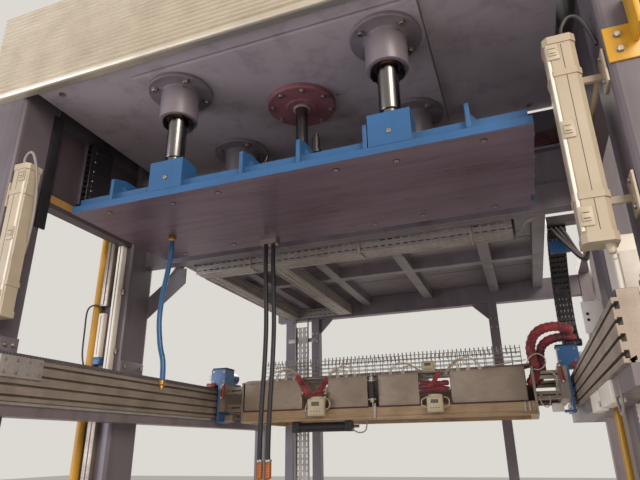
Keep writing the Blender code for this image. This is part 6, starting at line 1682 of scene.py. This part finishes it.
# %% Right side details
boxes("cabinet_plate", [((1.178, 0.1362, 2.045), (1.42, 0.1376, 2.198))], CERAMIC, DOOR,
      0.5)
fittings("cabinet_lock", [(0, 0), (0.013, 0), (0.013, 0.004), (0.009, 0.008), (0.0, 0.008)],
         [((1.472, 0.1372, 2.055), FRONT)], ZINC, DOOR, steps=32)
boxes("cabinet_rain_edge", [((1.157, 0.15, 2.2602), (1.501, 0.3046, 2.265))], WHITE_POWDER, FRAME, 1.0)
blocks = [((1.03, 0.31, 1.664), (1.068, 0.5, 1.7295)), ((1.03, -0.117, 1.664), (1.068, 0.18, 1.7295)),
          ((1.03, 0.23, 1.69), (1.06, 0.275, 1.7295))]
boxes("sensor_blocks", blocks, WHITE_POWDER, FRAME, 3.0, segments=3)
tubes("sensor_block_cable", [[(1.045, -0.117, 1.69), (1.04, -0.15, 1.66), (1.038, -0.2, 1.625),
                              (1.04, -0.235, 1.65), (1.042, -0.235, 1.7), (1.044, -0.215, 1.729)]],
      0.004, GREY_CABLE, FRAME, sides=12)
rods("guard_tube_right", [((1.12, 0.52, 0.0255), (1.12, 0.52, 1.729))], 0.014, YELLOW_ENAMEL, FRAME)
CONDUIT_FOOT, RIPPLE, RIPPLES = 0.0255, 0.0085, 194
ripples = [(0.0125 + 0.0022 * (k % 2), CONDUIT_FOOT + RIPPLE * k) for k in range(RIPPLES)]
lathe("bellows_conduit", [(0, CONDUIT_FOOT)] + ripples + [(0, CONDUIT_FOOT + RIPPLE * RIPPLES)],
      (1.126, 0.04, 0), CREAM_WIRE, FRAME, steps=20)
boxes("yellow_bracket", [((1.145, -0.5115, 2.55), (1.245, -0.5048, 2.668)),
                         ((1.215, -0.595, 2.6), (1.23, -0.5114, 2.76))], YELLOW_ENAMEL, FRAME, 2.0)
bolts("yellow_bracket_bolts", [((1.18, -0.5116, 2.636), FRONT), ((1.18, -0.5116, 2.585), FRONT)], 17,
      FRAME, seed=18)
rods("yellow_rail_end", [((1.2225, -0.57, 2.7), (1.36, -0.57, 2.7))], 0.019, YELLOW_ENAMEL, FRAME,
     sides=32)
seams = [((-0.955, y - 0.0025, 2.5966), (0.985, y + 0.0025, 2.5982)) for y in (0.95, 1.45)]
boxes("roof_seams", seams, TORN_RUBBER_AND_SHADE, FRAME, 0.2, segments=1)
post_bolts = [((x + dx, 1.8398, 2.33 + dz), FRONT) for x in (-0.65, 0.65) for dx in (-0.018, 0.018)
              for dz in (-0.03, 0.03)]
bolts("post_joint_bolts", post_bolts, 13, FRAME, seed=19)
for jacket, shift, radius in ((GREY_CABLE, 0.0, 0.0065), (DARK_CABLE, 0.012, 0.008)):
    loops = [[(1.03 + 0.022 * k, 0.866, 2.59 - shift), (1.05 + 0.02 * k, 0.84, 2.545 - shift),
              (1.088 + 0.016 * k, 0.74, 2.44 - shift - 0.018 * k),
              (1.124 + 0.006 * k, 0.62, 2.345 - shift), (1.146, 0.545 - 0.01 * k, 2.392 + 0.02 * k),
              (1.14 - 0.012 * k, 0.516, 2.52)] for k in range(3)]
    tubes("chain_cables_grey" if shift == 0 else "chain_cables_dark", loops, radius, jacket, FRAME,
          sides=12, count=40)
boxes("chain_end_block", [((1.008, 0.862, 2.455), (1.102, 0.884, 2.52))], BLUE_ENAMEL, FRAME, 2.0)
boxes("column_strip_left", [((-1.1412, -0.345, 2.48), (-1.13, -0.2915, 3.0515))], BLACK_RUBBER, FRAME,
      2.0)
plate("knee_brace_plate", [(-1.1405, 2.235), (-0.905, 2.418), (-0.905, 2.505), (-0.95, 2.505),
                           (-1.1405, 2.362)], 0.006, "XZ", 0.4875, GREY_ENAMEL, FRAME)
beam_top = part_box("rear_beam")[1][2]
# The rear sheet takes the grey enamel darkened as painted shade.
boxes("upper_rear_sheet", [((-1.1406, 0.48, beam_top + 0.0002), (1.1406, 0.4895, 3.0518))], SHADED_GREY_ENAMEL,
      FRAME, 1.5)
bundle = [[(1.1395, 0.452, 2.862 + 0.02 * k), (1.05, 0.44 + 0.006 * k, 2.85 + 0.018 * k),
           (0.93, 0.446, 2.838 + 0.019 * k), (0.8, 0.44 + 0.005 * k, 2.842 + 0.018 * k),
           (0.69, 0.452, 2.836 + 0.018 * k), (0.6, 0.479, 2.85 + 0.012 * k)] for k in range(5)]
tubes("rear_cable_bundle", bundle, 0.009, RED_CABLE, FRAME, sides=12, count=36)
print("right side details made")

# %% [markdown]


print("sizes written")
